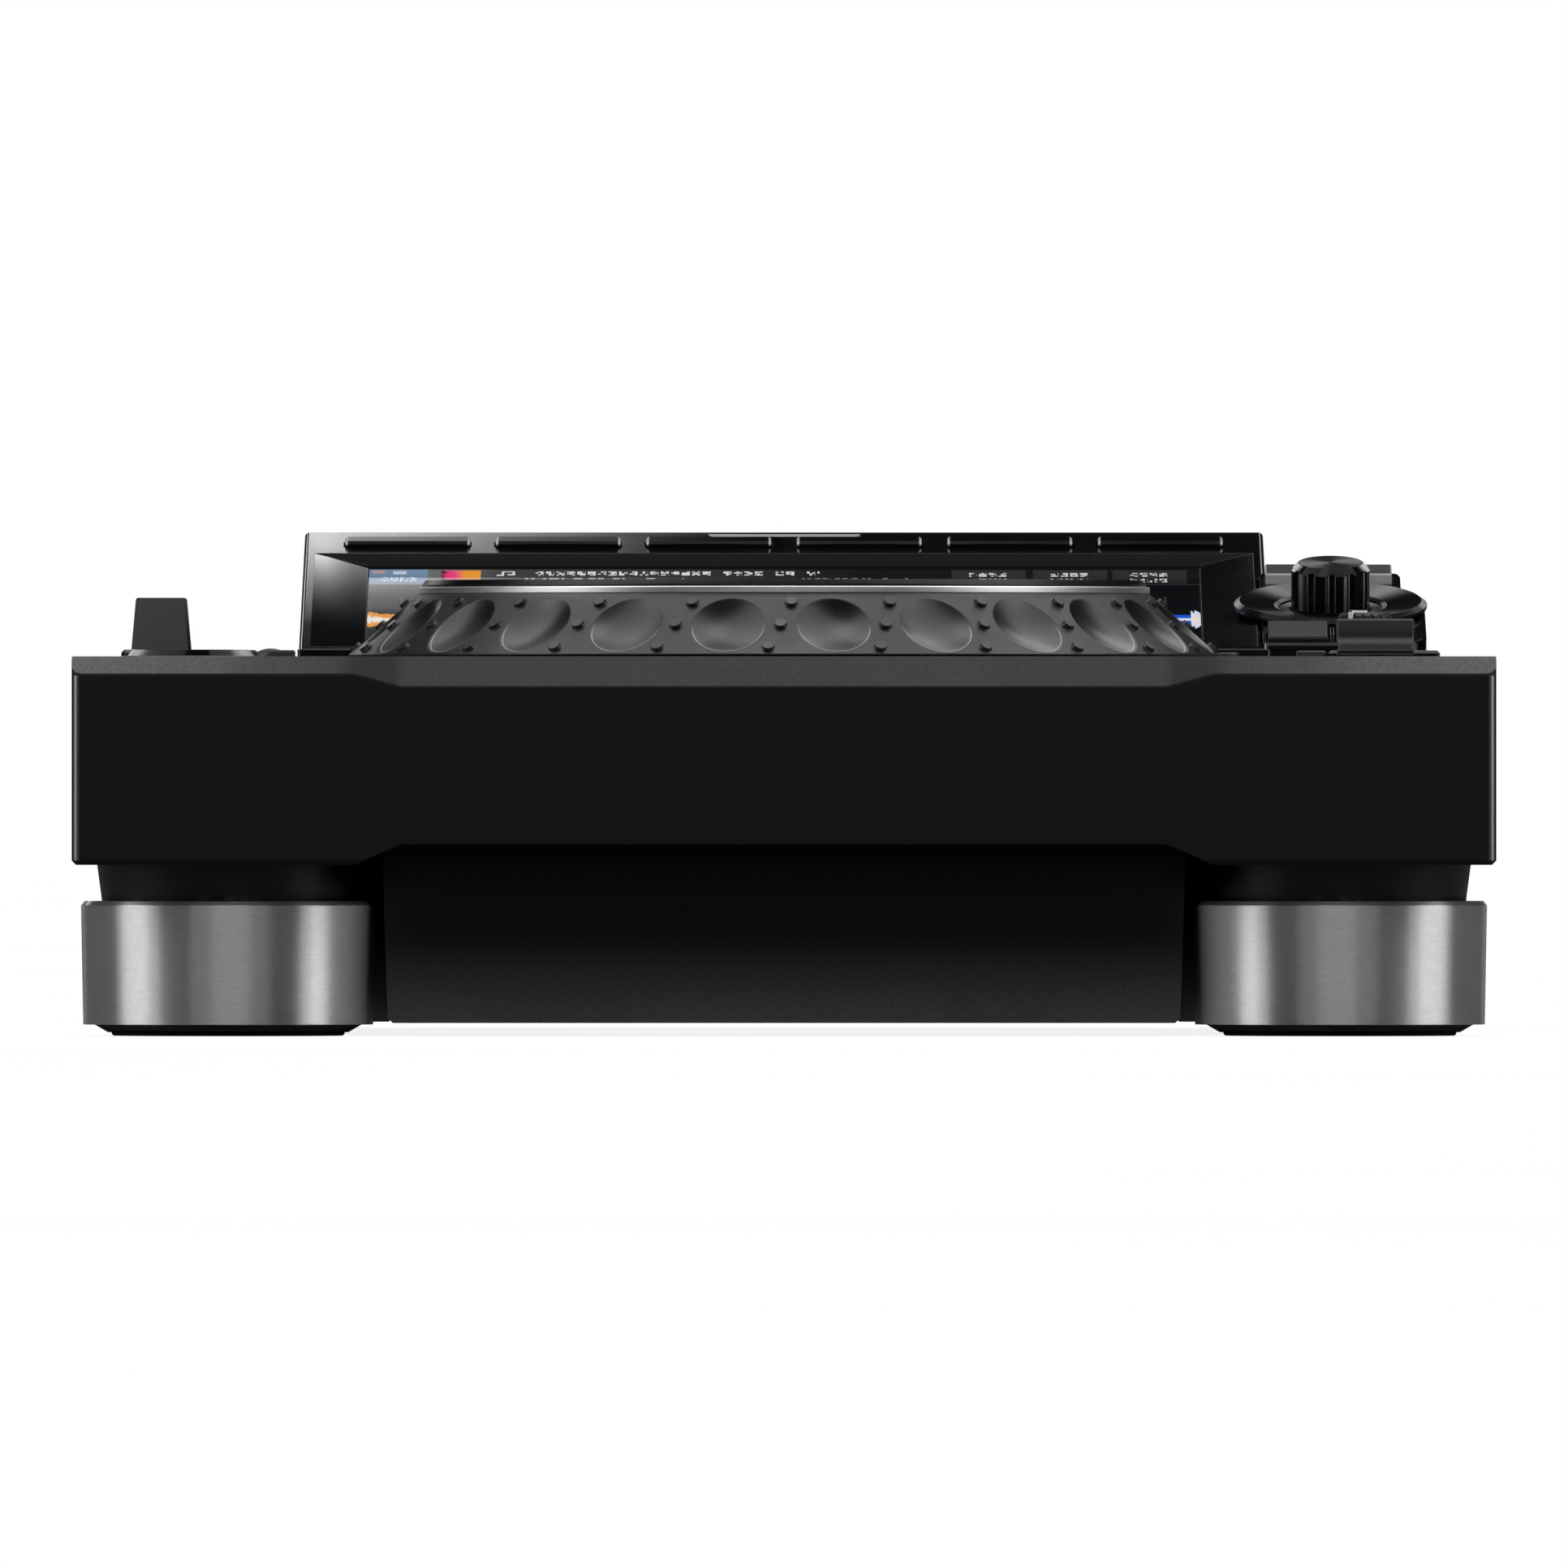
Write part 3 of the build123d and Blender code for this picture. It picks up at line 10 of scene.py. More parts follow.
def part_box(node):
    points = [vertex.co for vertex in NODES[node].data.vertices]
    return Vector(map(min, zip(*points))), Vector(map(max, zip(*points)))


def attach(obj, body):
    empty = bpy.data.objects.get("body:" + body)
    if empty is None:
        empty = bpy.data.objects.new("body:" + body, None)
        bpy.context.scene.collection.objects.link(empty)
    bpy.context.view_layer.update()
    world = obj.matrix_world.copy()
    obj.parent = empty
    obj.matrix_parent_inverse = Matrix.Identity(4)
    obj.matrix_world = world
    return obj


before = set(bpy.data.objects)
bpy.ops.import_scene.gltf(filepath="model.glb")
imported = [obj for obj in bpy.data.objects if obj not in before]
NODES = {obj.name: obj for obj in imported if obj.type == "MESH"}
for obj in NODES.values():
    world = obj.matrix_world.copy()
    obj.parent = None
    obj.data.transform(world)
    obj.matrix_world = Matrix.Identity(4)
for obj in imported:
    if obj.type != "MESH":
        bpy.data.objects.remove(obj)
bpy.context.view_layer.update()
MM = 0.001


def lin(v):
    """8-bit sRGB level to linear."""
    v = v / 255.0
    return v / 12.92 if v <= 0.04045 else ((v + 0.055) / 1.055) ** 2.4


def rgb(r, g, b):
    return (lin(r), lin(g), lin(b), 1.0)


# ------------------------------------------------------------------ node helper
class Mat:
    def __init__(self, name):
        self.m = bpy.data.materials.new(name)
        self.m.use_nodes = True
        self.t = self.m.node_tree
        self.t.nodes.clear()
        self.out = self.new("ShaderNodeOutputMaterial")
        self.obj = self.new("ShaderNodeTexCoord").outputs["Object"]

    def new(self, kind, **props):
        n = self.t.nodes.new(kind)
        for k, v in props.items():
            setattr(n, k, v)
        return n

    def put(self, socket, v):
        if isinstance(v, bpy.types.NodeSocket):
            self.t.links.new(v, socket)
        elif v is not None:
            socket.default_value = v

    def math(self, op, a, b=None, c=None, clamp=False):
        n = self.new("ShaderNodeMath", operation=op, use_clamp=clamp)
        for i, v in enumerate((a, b, c)):
            self.put(n.inputs[i], v)
        return n.outputs[0]

    def vec(self, op, a, b=None, scale=None):
        n = self.new("ShaderNodeVectorMath", operation=op)
        self.put(n.inputs[0], a)
        self.put(n.inputs[1], b)
        if scale is not None:
            self.put(n.inputs["Scale"], scale)
        return n.outputs["Value"] if op in ("LENGTH", "DOT_PRODUCT", "DISTANCE") else n.outputs["Vector"]

    def sep(self, v):
        n = self.new("ShaderNodeSeparateXYZ")
        self.put(n.inputs[0], v)
        return n.outputs[0], n.outputs[1], n.outputs[2]

    def comb(self, x=0.0, y=0.0, z=0.0):
        n = self.new("ShaderNodeCombineXYZ")
        for i, v in enumerate((x, y, z)):
            self.put(n.inputs[i], v)
        return n.outputs[0]

    def local(self, origin_mm, tilt_deg=0.0):
        """coordinates in mm in a plane tilted about X, at origin_mm"""
        n = self.new("ShaderNodeMapping", vector_type="TEXTURE")
        self.put(n.inputs["Vector"], self.obj)
        n.inputs["Location"].default_value = [c * MM for c in origin_mm]
        n.inputs["Rotation"].default_value = (math.radians(tilt_deg), 0, 0)
        n.inputs["Scale"].default_value = (MM, MM, MM)
        return n.outputs[0]

    def noise(self, scale, detail=2.0, rough=0.5, vec=None, distort=0.0):
        n = self.new("ShaderNodeTexNoise")
        self.put(n.inputs["Vector"], self.obj if vec is None else vec)
        n.inputs["Scale"].default_value = scale
        n.inputs["Detail"].default_value = detail
        n.inputs["Roughness"].default_value = rough
        n.inputs["Distortion"].default_value = distort
        return n.outputs[0]

    def stretched(self, sx, sy, sz, detail=2.0, rough=0.6, vec=None):
        """noise with its own scale along each axis"""
        v = self.vec("MULTIPLY", self.obj if vec is None else vec, (sx, sy, sz))
        return self.noise(1.0, detail, rough, v)

    def ranged(self, v, a, b, c, d, smooth=False):
        n = self.new("ShaderNodeMapRange", clamp=True)
        if smooth:
            n.interpolation_type = "SMOOTHSTEP"
        self.put(n.inputs[0], v)
        for i, x in enumerate((a, b, c, d)):
            self.put(n.inputs[i + 1], x)
        return n.outputs[0]

    def mix(self, fac, a, b, blend="MIX"):
        n = self.new("ShaderNodeMix", data_type="RGBA", blend_type=blend)
        self.put(n.inputs[0], fac)
        self.put(n.inputs[6], a)
        self.put(n.inputs[7], b)
        return n.outputs[2]

    def scaled(self, colour, k):
        """a colour socket or constant times a number"""
        n = self.new("ShaderNodeVectorMath", operation="SCALE")
        if isinstance(colour, bpy.types.NodeSocket):
            self.put(n.inputs[0], colour)
        else:
            n.inputs[0].default_value = colour[:3]
        self.put(n.inputs["Scale"], k)
        return n.outputs["Vector"]

    def bevel(self, radius, samples=4):
        n = self.new("ShaderNodeBevel", samples=samples)
        n.inputs["Radius"].default_value = radius
        return n.outputs[0]

    def bump(self, height, distance, strength=1.0, normal=None):
        n = self.new("ShaderNodeBump")
        n.inputs["Strength"].default_value = strength
        n.inputs["Distance"].default_value = distance
        self.put(n.inputs["Height"], height)
        self.put(n.inputs["Normal"], normal)
        return n.outputs[0]

    def normal(self, true=True):
        """surface normal, as components; the player stands still, so this is its own frame"""
        return self.sep(self.new("ShaderNodeNewGeometry").outputs["True Normal" if true else "Normal"])

    def edges(self, radius, lo=0.02, hi=0.12):
        """1 along convex and concave edges, within about the radius"""
        flat = self.new("ShaderNodeNewGeometry").outputs["Normal"]
        d = self.vec("DOT_PRODUCT", flat, self.bevel(radius, 6))
        return self.ranged(d, 1 - hi, 1 - lo, 1.0, 0.0)

    def shader(self, colour, rough, metal=0.0, spec=0.5, normal=None, coat=0.0, coat_rough=0.05, emit=None,
               emit_k=0.0, aniso=0.0, tangent=None, ior=1.5, sheen=0.0, trans=0.0):
        p = self.new("ShaderNodeBsdfPrincipled")
        self.put(p.inputs["Base Color"], colour)
        self.put(p.inputs["Roughness"], rough)
        self.put(p.inputs["Metallic"], metal)
        p.inputs["IOR"].default_value = ior
        p.inputs["Specular IOR Level"].default_value = spec
        p.inputs["Coat Weight"].default_value = coat
        p.inputs["Coat Roughness"].default_value = coat_rough
        p.inputs["Anisotropic"].default_value = aniso
        p.inputs["Sheen Weight"].default_value = sheen
        p.inputs["Transmission Weight"].default_value = trans
        if tangent is not None:
            self.put(p.inputs["Tangent"], tangent)
        if normal is not None:
            self.put(p.inputs["Normal"], normal)
        if emit is not None:
            self.put(p.inputs["Emission Color"], emit)
            p.inputs["Emission Strength"].default_value = emit_k
        self.t.links.new(p.outputs[0], self.out.inputs["Surface"])
        return p


def plastic(name, base, rough, spec=0.35, speck=0.18, grain=2600.0, bump=0.00002, edge=0.0003, blotch=0.12):
    """moulded plastic: fine speckle, slight cloudiness, grained surface, soft edges"""
    k = Mat(name)
    fine = k.noise(grain, 2.0, 0.6)
    cloud = k.noise(22.0, 4.0, 0.55)
    amount = k.math("MULTIPLY", k.ranged(fine, 0.3, 0.7, 1 - speck, 1 + speck), k.ranged(cloud, 0.3, 0.7, 1 - blotch, 1 + blotch))
    colour = k.scaled(base, amount)
    r = k.math("ADD", k.ranged(k.noise(60.0, 4.0, 0.6), 0.3, 0.7, rough - 0.05, rough + 0.05),
               k.ranged(fine, 0.3, 0.7, -0.03, 0.03))
    k.shader(colour, r, spec=spec, normal=k.bump(fine, bump, 0.6, k.bevel(edge)))
    return k.m


def gloss(name, base, rough=0.07, spec=0.5, edge=0.00025):
    """polished black plastic: wipe marks in the roughness, a few dust specks"""
    k = Mat(name)
    wipe = k.stretched(30.0, 9.0, 30.0, 4.0, 0.6)
    dust = k.ranged(k.noise(900.0, 1.0, 0.5), 0.72, 0.80, 0.0, 1.0)
    colour = k.mix(k.math("MULTIPLY", dust, 0.35), base, rgb(70, 70, 72))
    r = k.math("ADD", k.ranged(wipe, 0.35, 0.7, rough * 0.7, rough * 1.5), k.math("MULTIPLY", dust, 0.15))
    k.shader(colour, r, spec=spec, normal=k.bump(k.noise(160.0, 2.0, 0.5), 0.000004, 0.4, k.bevel(edge)))
    return k.m


def rubber(name, base, rough=0.75):
    k = Mat(name)
    fine = k.noise(1500.0, 3.0, 0.65)
    dust = k.ranged(k.noise(45.0, 5.0, 0.65), 0.5, 0.75, 0.0, 0.22)
    colour = k.mix(dust, k.scaled(base, k.ranged(fine, 0.3, 0.7, 0.8, 1.2)), rgb(60, 59, 57))
    k.shader(colour, k.ranged(fine, 0.3, 0.7, rough - 0.06, rough + 0.08), spec=0.25,
             normal=k.bump(fine, 0.00004, 0.5, k.bevel(0.0004)))
    return k.m


def sheet_metal(name, base, rough=0.35, scratch=1.0):
    """plated sheet: fine rolling marks, fingerprints, bright edges"""
    k = Mat(name)
    lines = k.stretched(2600.0, 90.0, 2600.0, 3.0, 0.7)
    smear = k.noise(70.0, 4.0, 0.6)
    colour = k.scaled(base, k.math("MULTIPLY", k.ranged(lines, 0.3, 0.7, 0.9, 1.08), k.ranged(smear, 0.3, 0.7, 0.92, 1.05)))
    r = k.math("ADD", k.ranged(smear, 0.3, 0.7, rough - 0.06, rough + 0.10), k.ranged(lines, 0.3, 0.7, -0.04, 0.04))
    k.shader(colour, r, metal=1.0, normal=k.bump(lines, 0.000008 * scratch, 0.5, k.bevel(0.00025)))
    return k.m


# ------------------------------------------------------------------ materials


def case_material():
    """fine even black moulding; the rounded upright corners carry a painted highlight strip, paler, more metallic and
    less rough
    """
    k = Mat("case_plastic")
    fine = k.noise(1900.0, 2.0, 0.6)
    cloud = k.noise(9.0, 3.0, 0.5)
    amount = k.math("MULTIPLY", k.ranged(fine, 0.3, 0.7, 0.93, 1.07), k.ranged(cloud, 0.3, 0.7, 0.97, 1.03))
    nx, ny, nz = k.normal(true=False)
    ax = k.math("ABSOLUTE", nx)
    # painted highlight: a paler, metallic, less rough strip on the rounded upright corners
    corner_highlight = k.math("MULTIPLY", k.ranged(ax, 0.12, 0.50, 0.0, 1.0, smooth=True), k.ranged(ax, 0.60, 0.85, 1.0, 0.0, smooth=True))
    corner_highlight = k.math("MULTIPLY", corner_highlight, k.ranged(k.math("ABSOLUTE", nz), 0.05, 0.15, 1.0, 0.0))
    colour = k.mix(corner_highlight, k.scaled(rgb(8, 8, 8), amount), rgb(102, 102, 104))
    rough = k.math("SUBTRACT", k.ranged(fine, 0.3, 0.7, 0.34, 0.38), k.math("MULTIPLY", corner_highlight, 0.20))
    k.shader(colour, rough, metal=k.math("MULTIPLY", corner_highlight, 0.85), spec=0.2, normal=k.bump(fine, 0.000006, 0.5, k.bevel(0.0004)))
    return k.m


CASE = case_material()
SOCKET = plastic("socket_moulding", rgb(20, 20, 21), 0.45, spec=0.35)
NECK = plastic("neck_plastic", rgb(12, 12, 12), 0.38, spec=0.25)
KEY = plastic("key_plastic", rgb(40, 40, 41), 0.40, spec=0.4, speck=0.14, edge=0.00035)


def lever_material():
    """satin grey faces, glossier black bevels, a thin painted highlight line where they meet"""
    k = Mat("lever_plastic")
    nx, ny, nz = k.normal()
    bevel = k.math("MAXIMUM", k.ranged(k.math("ABSOLUTE", nx), 0.25, 0.45, 0.0, 1.0), k.ranged(nz, 0.3, 0.5, 0.0, 1.0))
    fine = k.noise(2300.0, 2.0, 0.6)
    cloud = k.noise(26.0, 4.0, 0.55)
    amount = k.math("MULTIPLY", k.ranged(fine, 0.3, 0.7, 0.92, 1.08), k.ranged(cloud, 0.3, 0.7, 0.94, 1.06))
    colour = k.mix(bevel, k.scaled(rgb(66, 66, 67), amount), k.scaled(rgb(12, 12, 12), amount))
    # painted highlight: a pale line along the edges
    colour = k.mix(k.math("MULTIPLY", k.edges(0.0003), 0.5), colour, rgb(96, 96, 98))
    rough = k.math("SUBTRACT", k.ranged(fine, 0.3, 0.7, 0.44, 0.52), k.math("MULTIPLY", bevel, 0.24))
    k.shader(colour, rough, spec=0.35, normal=k.bump(fine, 0.00001, 0.6, k.bevel(0.00025)))
    return k.m


def pedestal_key_material(name, top, front, line):
    """key cap on the selector pedestal: smooth top, grained paler front face, pale painted highlight lines along the
    edges
    """
    k = Mat(name)
    nx, ny, nz = k.normal()
    up = k.ranged(nz, 0.80, 0.90, 0.0, 1.0)
    fine = k.noise(2300.0, 3.0, 0.7)
    side = k.scaled(front, k.ranged(fine, 0.3, 0.7, 0.72, 1.28))
    colour = k.mix(up, side, k.scaled(top, k.ranged(fine, 0.3, 0.7, 0.93, 1.07)))
    # painted highlight: the last colour laid along the edges
    colour = k.mix(k.math("MULTIPLY", k.edges(0.0003), 0.7), colour, line)
    k.shader(colour, k.ranged(fine, 0.3, 0.7, 0.42, 0.54), spec=0.14, normal=k.bump(fine, 0.00002, 0.6, k.bevel(0.0002)))
    return k.m


LEVER = lever_material()
# the last colour of each is a painted highlight along the key edges
KEY_F = pedestal_key_material("pedestal_key_front", rgb(26, 26, 27), rgb(18, 18, 19), rgb(120, 120, 122))
KEY_R = pedestal_key_material("pedestal_key_rear", rgb(30, 30, 31), rgb(150, 150, 152), rgb(84, 84, 86))


def cap_material():
    """satin fader cap: grey face with a painted gradient, a painted highlight band above the waist, painted shade
    beneath it, a painted highlight line at the bottom and painted highlights along the edges
    """
    k = Mat("fader_cap_plastic")
    nx, ny, nz = k.normal()
    x, y, z = k.sep(k.obj)
    fine = k.noise(1700.0, 2.0, 0.6)
    z = k.math("MULTIPLY", z, 1000.0)
    face = k.ranged(k.math("ABSOLUTE", ny), 0.25, 0.45, 0.0, 1.0)
    # painted gradient on the front face, lighter towards the top
    painted_tone = k.mix(k.ranged(z, 92.6, 96.3, 0.0, 1.0), rgb(34, 34, 35), rgb(48, 48, 49))
    # painted highlight band just above the waist
    painted_highlight_band = k.math("MULTIPLY", k.ranged(z, 90.5, 91.5, 0.0, 1.0, smooth=True), k.ranged(z, 91.6, 92.8, 1.0, 0.0, smooth=True))
    painted_tone = k.mix(painted_highlight_band, painted_tone, rgb(84, 84, 86))
    # painted shade below the waist
    painted_tone = k.mix(k.ranged(z, 90.0, 90.7, 1.0, 0.0, smooth=True), painted_tone, rgb(4, 4, 4))
    # painted highlight line along the bottom
    painted_tone = k.mix(k.ranged(z, 88.5, 88.9, 0.8, 0.0), painted_tone, rgb(70, 70, 71))
    colour = k.mix(face, rgb(26, 26, 27), painted_tone)
    # painted highlight along the edges
    colour = k.mix(k.math("MULTIPLY", k.edges(0.0003), 0.7), colour, rgb(118, 118, 120))
    colour = k.scaled(colour, k.ranged(fine, 0.3, 0.7, 0.95, 1.05))
    k.shader(colour, k.ranged(fine, 0.3, 0.7, 0.30, 0.36), spec=0.14, normal=k.bump(fine, 0.000006, 0.5, k.bevel(0.0003)))
    return k.m


CAP = cap_material()
RUBBER = rubber("foot_rubber", rgb(18, 18, 18))
PAD = rubber("pad_silicone", rgb(52, 52, 54), 0.55)
GLOSS = gloss("gloss_black", rgb(9, 9, 9))
KEYGLOSS = gloss("key_gloss", rgb(10, 10, 10), 0.10)
PEDESTAL = gloss("pedestal_gloss", rgb(7, 7, 7), 0.12, spec=0.22)


def round_key_material():
    """gloss black button; painted highlights on its bevel at the two sides and a fainter painted highlight along its
    edges
    """
    k = Mat("round_key_gloss")
    nx, ny, nz = k.normal()
    ax = k.math("ABSOLUTE", nx)
    wipe = k.stretched(30.0, 9.0, 30.0, 4.0, 0.6)
    side = k.ranged(nz, 0.90, 0.97, 1.0, 0.0)
    # painted highlight on the bevel at the left and right sides
    painted_shine = k.math("MULTIPLY", side, k.math("MULTIPLY", k.ranged(ax, 0.52, 0.70, 0.0, 1.0, smooth=True), k.ranged(ax, 0.84, 0.93, 1.0, 0.0, smooth=True)))
    # fainter painted highlight along the edges
    painted_edge_line = k.math("MULTIPLY", k.edges(0.0003), 0.35)
    colour = k.mix(painted_shine, k.scaled(rgb(8, 8, 8), k.ranged(wipe, 0.3, 0.7, 0.8, 1.3)), rgb(178, 178, 180))
    colour = k.mix(painted_edge_line, colour, rgb(80, 80, 82))
    k.shader(colour, k.ranged(wipe, 0.35, 0.7, 0.08, 0.15), spec=0.16, normal=k.bevel(0.0002))
    return k.m


ROUNDKEY = round_key_material()


def menu_key_material():
    """gloss black bar keys, painted highlights at the corners of both ends and a fainter painted highlight along the
    edges
    """
    k = Mat("menu_key_gloss")
    x, y, z = k.sep(k.local((0.0, 192.3, 118.8 - (219.0 - 192.3) * math.tan(math.radians(11.0))), 11.0))
    u = k.math("SUBTRACT", k.math("FRACT", k.math("ADD", k.math("DIVIDE", x, 36.1), 0.0)), 0.5)
    along = k.math("ABSOLUTE", k.math("MULTIPLY", u, 36.1))
    wipe = k.stretched(26.0, 9.0, 26.0, 4.0, 0.6)
    # painted highlight at both ends of each key
    painted_end_highlight = k.math("MULTIPLY", k.ranged(along, 14.25, 14.6, 0.0, 1.0), k.ranged(along, 14.85, 15.0, 1.0, 0.15))
    painted_end_highlight = k.math("MULTIPLY", painted_end_highlight, k.ranged(z, 0.35, 0.8, 0.0, 1.0))
    # painted highlight along the edges, stronger towards the ends
    painted_edge_highlight = k.math("MULTIPLY", k.edges(0.0003), k.ranged(along, 6.0, 14.5, 0.2, 0.7))
    colour = k.mix(painted_end_highlight, k.scaled(rgb(9, 9, 9), k.ranged(wipe, 0.3, 0.7, 0.8, 1.3)), rgb(190, 190, 192))
    colour = k.mix(painted_edge_highlight, colour, rgb(96, 96, 98))
    k.shader(colour, k.ranged(wipe, 0.35, 0.7, 0.07, 0.13), spec=0.06, normal=k.bevel(0.0003))
    return k.m


MENUKEY = menu_key_material()
SHIELD = sheet_metal("plated_shield", rgb(190, 190, 188))
SCREW = sheet_metal("black_zinc", rgb(58, 58, 60), 0.38)


def top_panel_material():
    """grained grey panel moulding; finer gloss on its rims; the front chamfer carries painted light, lighter towards
    both ends and darker on the steps beside its middle
    """
    k = Mat("panel_plastic")
    fine = k.noise(2300.0, 3.0, 0.7)
    coarse = k.noise(900.0, 2.0, 0.6)
    cloud = k.noise(16.0, 4.0, 0.55)
    amount = k.math("MULTIPLY", k.ranged(fine, 0.3, 0.7, 0.72, 1.28), k.ranged(cloud, 0.3, 0.7, 0.92, 1.08))
    amount = k.math("MULTIPLY", amount, k.ranged(coarse, 0.35, 0.65, 0.88, 1.12))
    nx, ny, nz = k.normal()
    x, y, z = k.sep(k.obj)
    bevel = k.math("MULTIPLY", k.ranged(ny, -0.55, -0.45, 1.0, 0.0), k.ranged(nz, 0.45, 0.55, 0.0, 1.0))
    ax = k.math("ABSOLUTE", x)
    # painted light on the front chamfer: lighter towards both ends
    painted_tone = k.math("ADD", k.ranged(ax, 0.0970, 0.1180, 1.07, 1.70, smooth=True), k.ranged(ax, 0.1180, 0.1360, 0.0, 1.36, smooth=True))
    painted_tone = k.math("ADD", painted_tone, k.ranged(ax, 0.136, 0.162, 0.0, 0.62))
    # painted shade on the steps beside the chamfer's middle
    step = k.math("MULTIPLY", k.ranged(ax, 0.0876, 0.0904, 0.0, 1.0), k.ranged(ax, 0.0968, 0.1046, 1.0, 0.0, smooth=True))
    painted_tone = k.math("MULTIPLY", painted_tone, k.ranged(step, 0.0, 1.0, 1.0, 0.22))
    painted_tone = k.math("ADD", 1.0, k.math("MULTIPLY", bevel, k.math("SUBTRACT", painted_tone, 1.0)))
    colour = k.scaled(rgb(45, 45, 46), k.math("MULTIPLY", amount, painted_tone))
    rough = k.math("ADD", k.ranged(k.noise(40.0, 5.0, 0.6), 0.3, 0.7, 0.40, 0.52), k.ranged(fine, 0.3, 0.7, -0.04, 0.04))
    wall = k.ranged(k.math("ABSOLUTE", nz), 0.2, 0.4, 1.0, 0.0)
    lip = k.math("MULTIPLY", wall, k.math("LESS_THAN", y, -0.2262))
    colour = k.mix(wall, colour, rgb(13, 13, 13))
    colour = k.mix(lip, colour, rgb(30, 30, 31))
    rough = k.math("SUBTRACT", rough, k.math("MULTIPLY", wall, 0.12))
    k.shader(colour, rough, spec=0.2, normal=k.bump(fine, 0.00003, 0.7, k.bevel(0.0002)))
    return k.m


PANEL = top_panel_material()


def jog_plastic_material():
    """wheel moulding: grained cone, smoother dimples, glossier soft studs; painted shade in each dimple's upper part
    and painted light low down, a painted highlight on its lower rim and painted shade on its upper rim, painted shade
    round the foot of each stud
    """
    k = Mat("jog_plastic")
    x, y, z = k.sep(k.local(JOG_AXIS))
    r = k.vec("LENGTH", k.comb(x, y, 0.0))
    cone = k.math("SUBTRACT", 102.0, k.math("MULTIPLY", k.math("SUBTRACT", z, 88.3), 16.5 / 14.6))
    out = k.math("MULTIPLY", k.math("SUBTRACT", r, cone), 0.663)
    stud = k.ranged(out, 0.10, 0.22, 0.0, 1.0)
    dimple = k.ranged(out, -0.18, -0.05, 1.0, 0.0)
    fine = k.noise(2100.0, 3.0, 0.7)
    cloud = k.noise(30.0, 4.0, 0.55)
    amount = k.math("MULTIPLY", k.ranged(fine, 0.3, 0.7, 0.66, 1.34), k.ranged(cloud, 0.3, 0.7, 0.93, 1.07))
    smooth = k.math("MULTIPLY", k.ranged(fine, 0.3, 0.7, 0.94, 1.06), k.ranged(cloud, 0.3, 0.7, 0.93, 1.07))
    colour = k.scaled(rgb(29, 29, 30), amount)
    # painted shade and light in the dimples: dark in their upper part, lighter low down
    low = k.ranged(z, 89.5, 98.0, 1.0, 0.0, smooth=True)
    painted_dimple_shading = k.mix(low, rgb(9, 9, 9), rgb(58, 58, 59))
    colour = k.mix(dimple, colour, k.scaled(painted_dimple_shading, smooth))
    # painted highlight on the lower rim of each dimple, painted shade on its upper rim
    painted_rim_line = k.math("MULTIPLY", k.ranged(out, -0.24, -0.16, 0.0, 1.0), k.ranged(out, -0.10, -0.04, 1.0, 0.0))
    colour = k.mix(k.math("MULTIPLY", painted_rim_line, k.ranged(z, 92.5, 96.0, 0.75, 0.0, smooth=True)), colour, rgb(150, 150, 152))
    colour = k.mix(k.math("MULTIPLY", painted_rim_line, k.ranged(z, 96.0, 98.5, 0.0, 0.85, smooth=True)), colour, rgb(4, 4, 4))
    colour = k.mix(stud, colour, k.scaled(rgb(30, 30, 31), smooth))
    # painted shade round the foot of each stud
    foot = k.math("MULTIPLY", k.ranged(out, 0.05, 0.12, 0.0, 1.0), k.ranged(out, 0.26, 0.36, 1.0, 0.0))
    colour = k.mix(k.math("MULTIPLY", foot, 0.8), colour, rgb(5, 5, 5))
    rough = k.math("ADD", k.ranged(k.noise(55.0, 4.0, 0.6), 0.3, 0.7, 0.36, 0.46), k.ranged(fine, 0.3, 0.7, -0.03, 0.03))
    rough = k.math("SUBTRACT", rough, k.math("ADD", k.math("MULTIPLY", dimple, 0.10), k.math("MULTIPLY", stud, 0.12)))
    even = k.math("SUBTRACT", 1.0, k.math("MAXIMUM", dimple, stud))
    k.shader(colour, rough, spec=0.5, normal=k.bump(k.math("MULTIPLY", fine, even), 0.00003, 0.6, k.bevel(0.0002)))
    return k.m


JOG_AXIS = (0.0, -62.0, 0.0)
JOG = jog_plastic_material()


def ring_material():
    """satin turned aluminium; the turning lines run round each foot"""
    k = Mat("foot_ring_aluminium")
    x, y, z = k.sep(k.obj)
    lx = k.math("SUBTRACT", k.math("ABSOLUTE", x), 0.1288)
    ly = k.math("SUBTRACT", k.math("ABSOLUTE", y), 0.186)
    sx, sy = k.math("SIGN", x), k.math("SIGN", y)
    ang = k.math("ARCTAN2", k.math("MULTIPLY", ly, sy), k.math("MULTIPLY", lx, sx))
    foot = k.math("ADD", k.math("MULTIPLY", sx, 3.0), k.math("MULTIPLY", sy, 7.0))
    lines = k.noise(1.0, 3.0, 0.75, k.comb(k.math("MULTIPLY", ang, 11.0), foot, k.math("MULTIPLY", z, 4200.0)))
    coarse = k.noise(1.0, 2.0, 0.6, k.comb(k.math("MULTIPLY", ang, 4.0), foot, k.math("MULTIPLY", z, 1500.0)))
    tangent = k.vec("NORMALIZE", k.comb(0.0, 0.0, 1.0))
    amount = k.math("MULTIPLY", k.ranged(lines, 0.3, 0.7, 0.86, 1.10), k.ranged(coarse, 0.3, 0.7, 0.96, 1.04))
    colour = k.scaled(rgb(190, 190, 192), amount)
    rough = k.ranged(lines, 0.3, 0.7, 0.29, 0.33)
    k.shader(colour, rough, metal=0.88, aniso=0.92, tangent=tangent, normal=k.bevel(0.0003))
    return k.m


RING = ring_material()


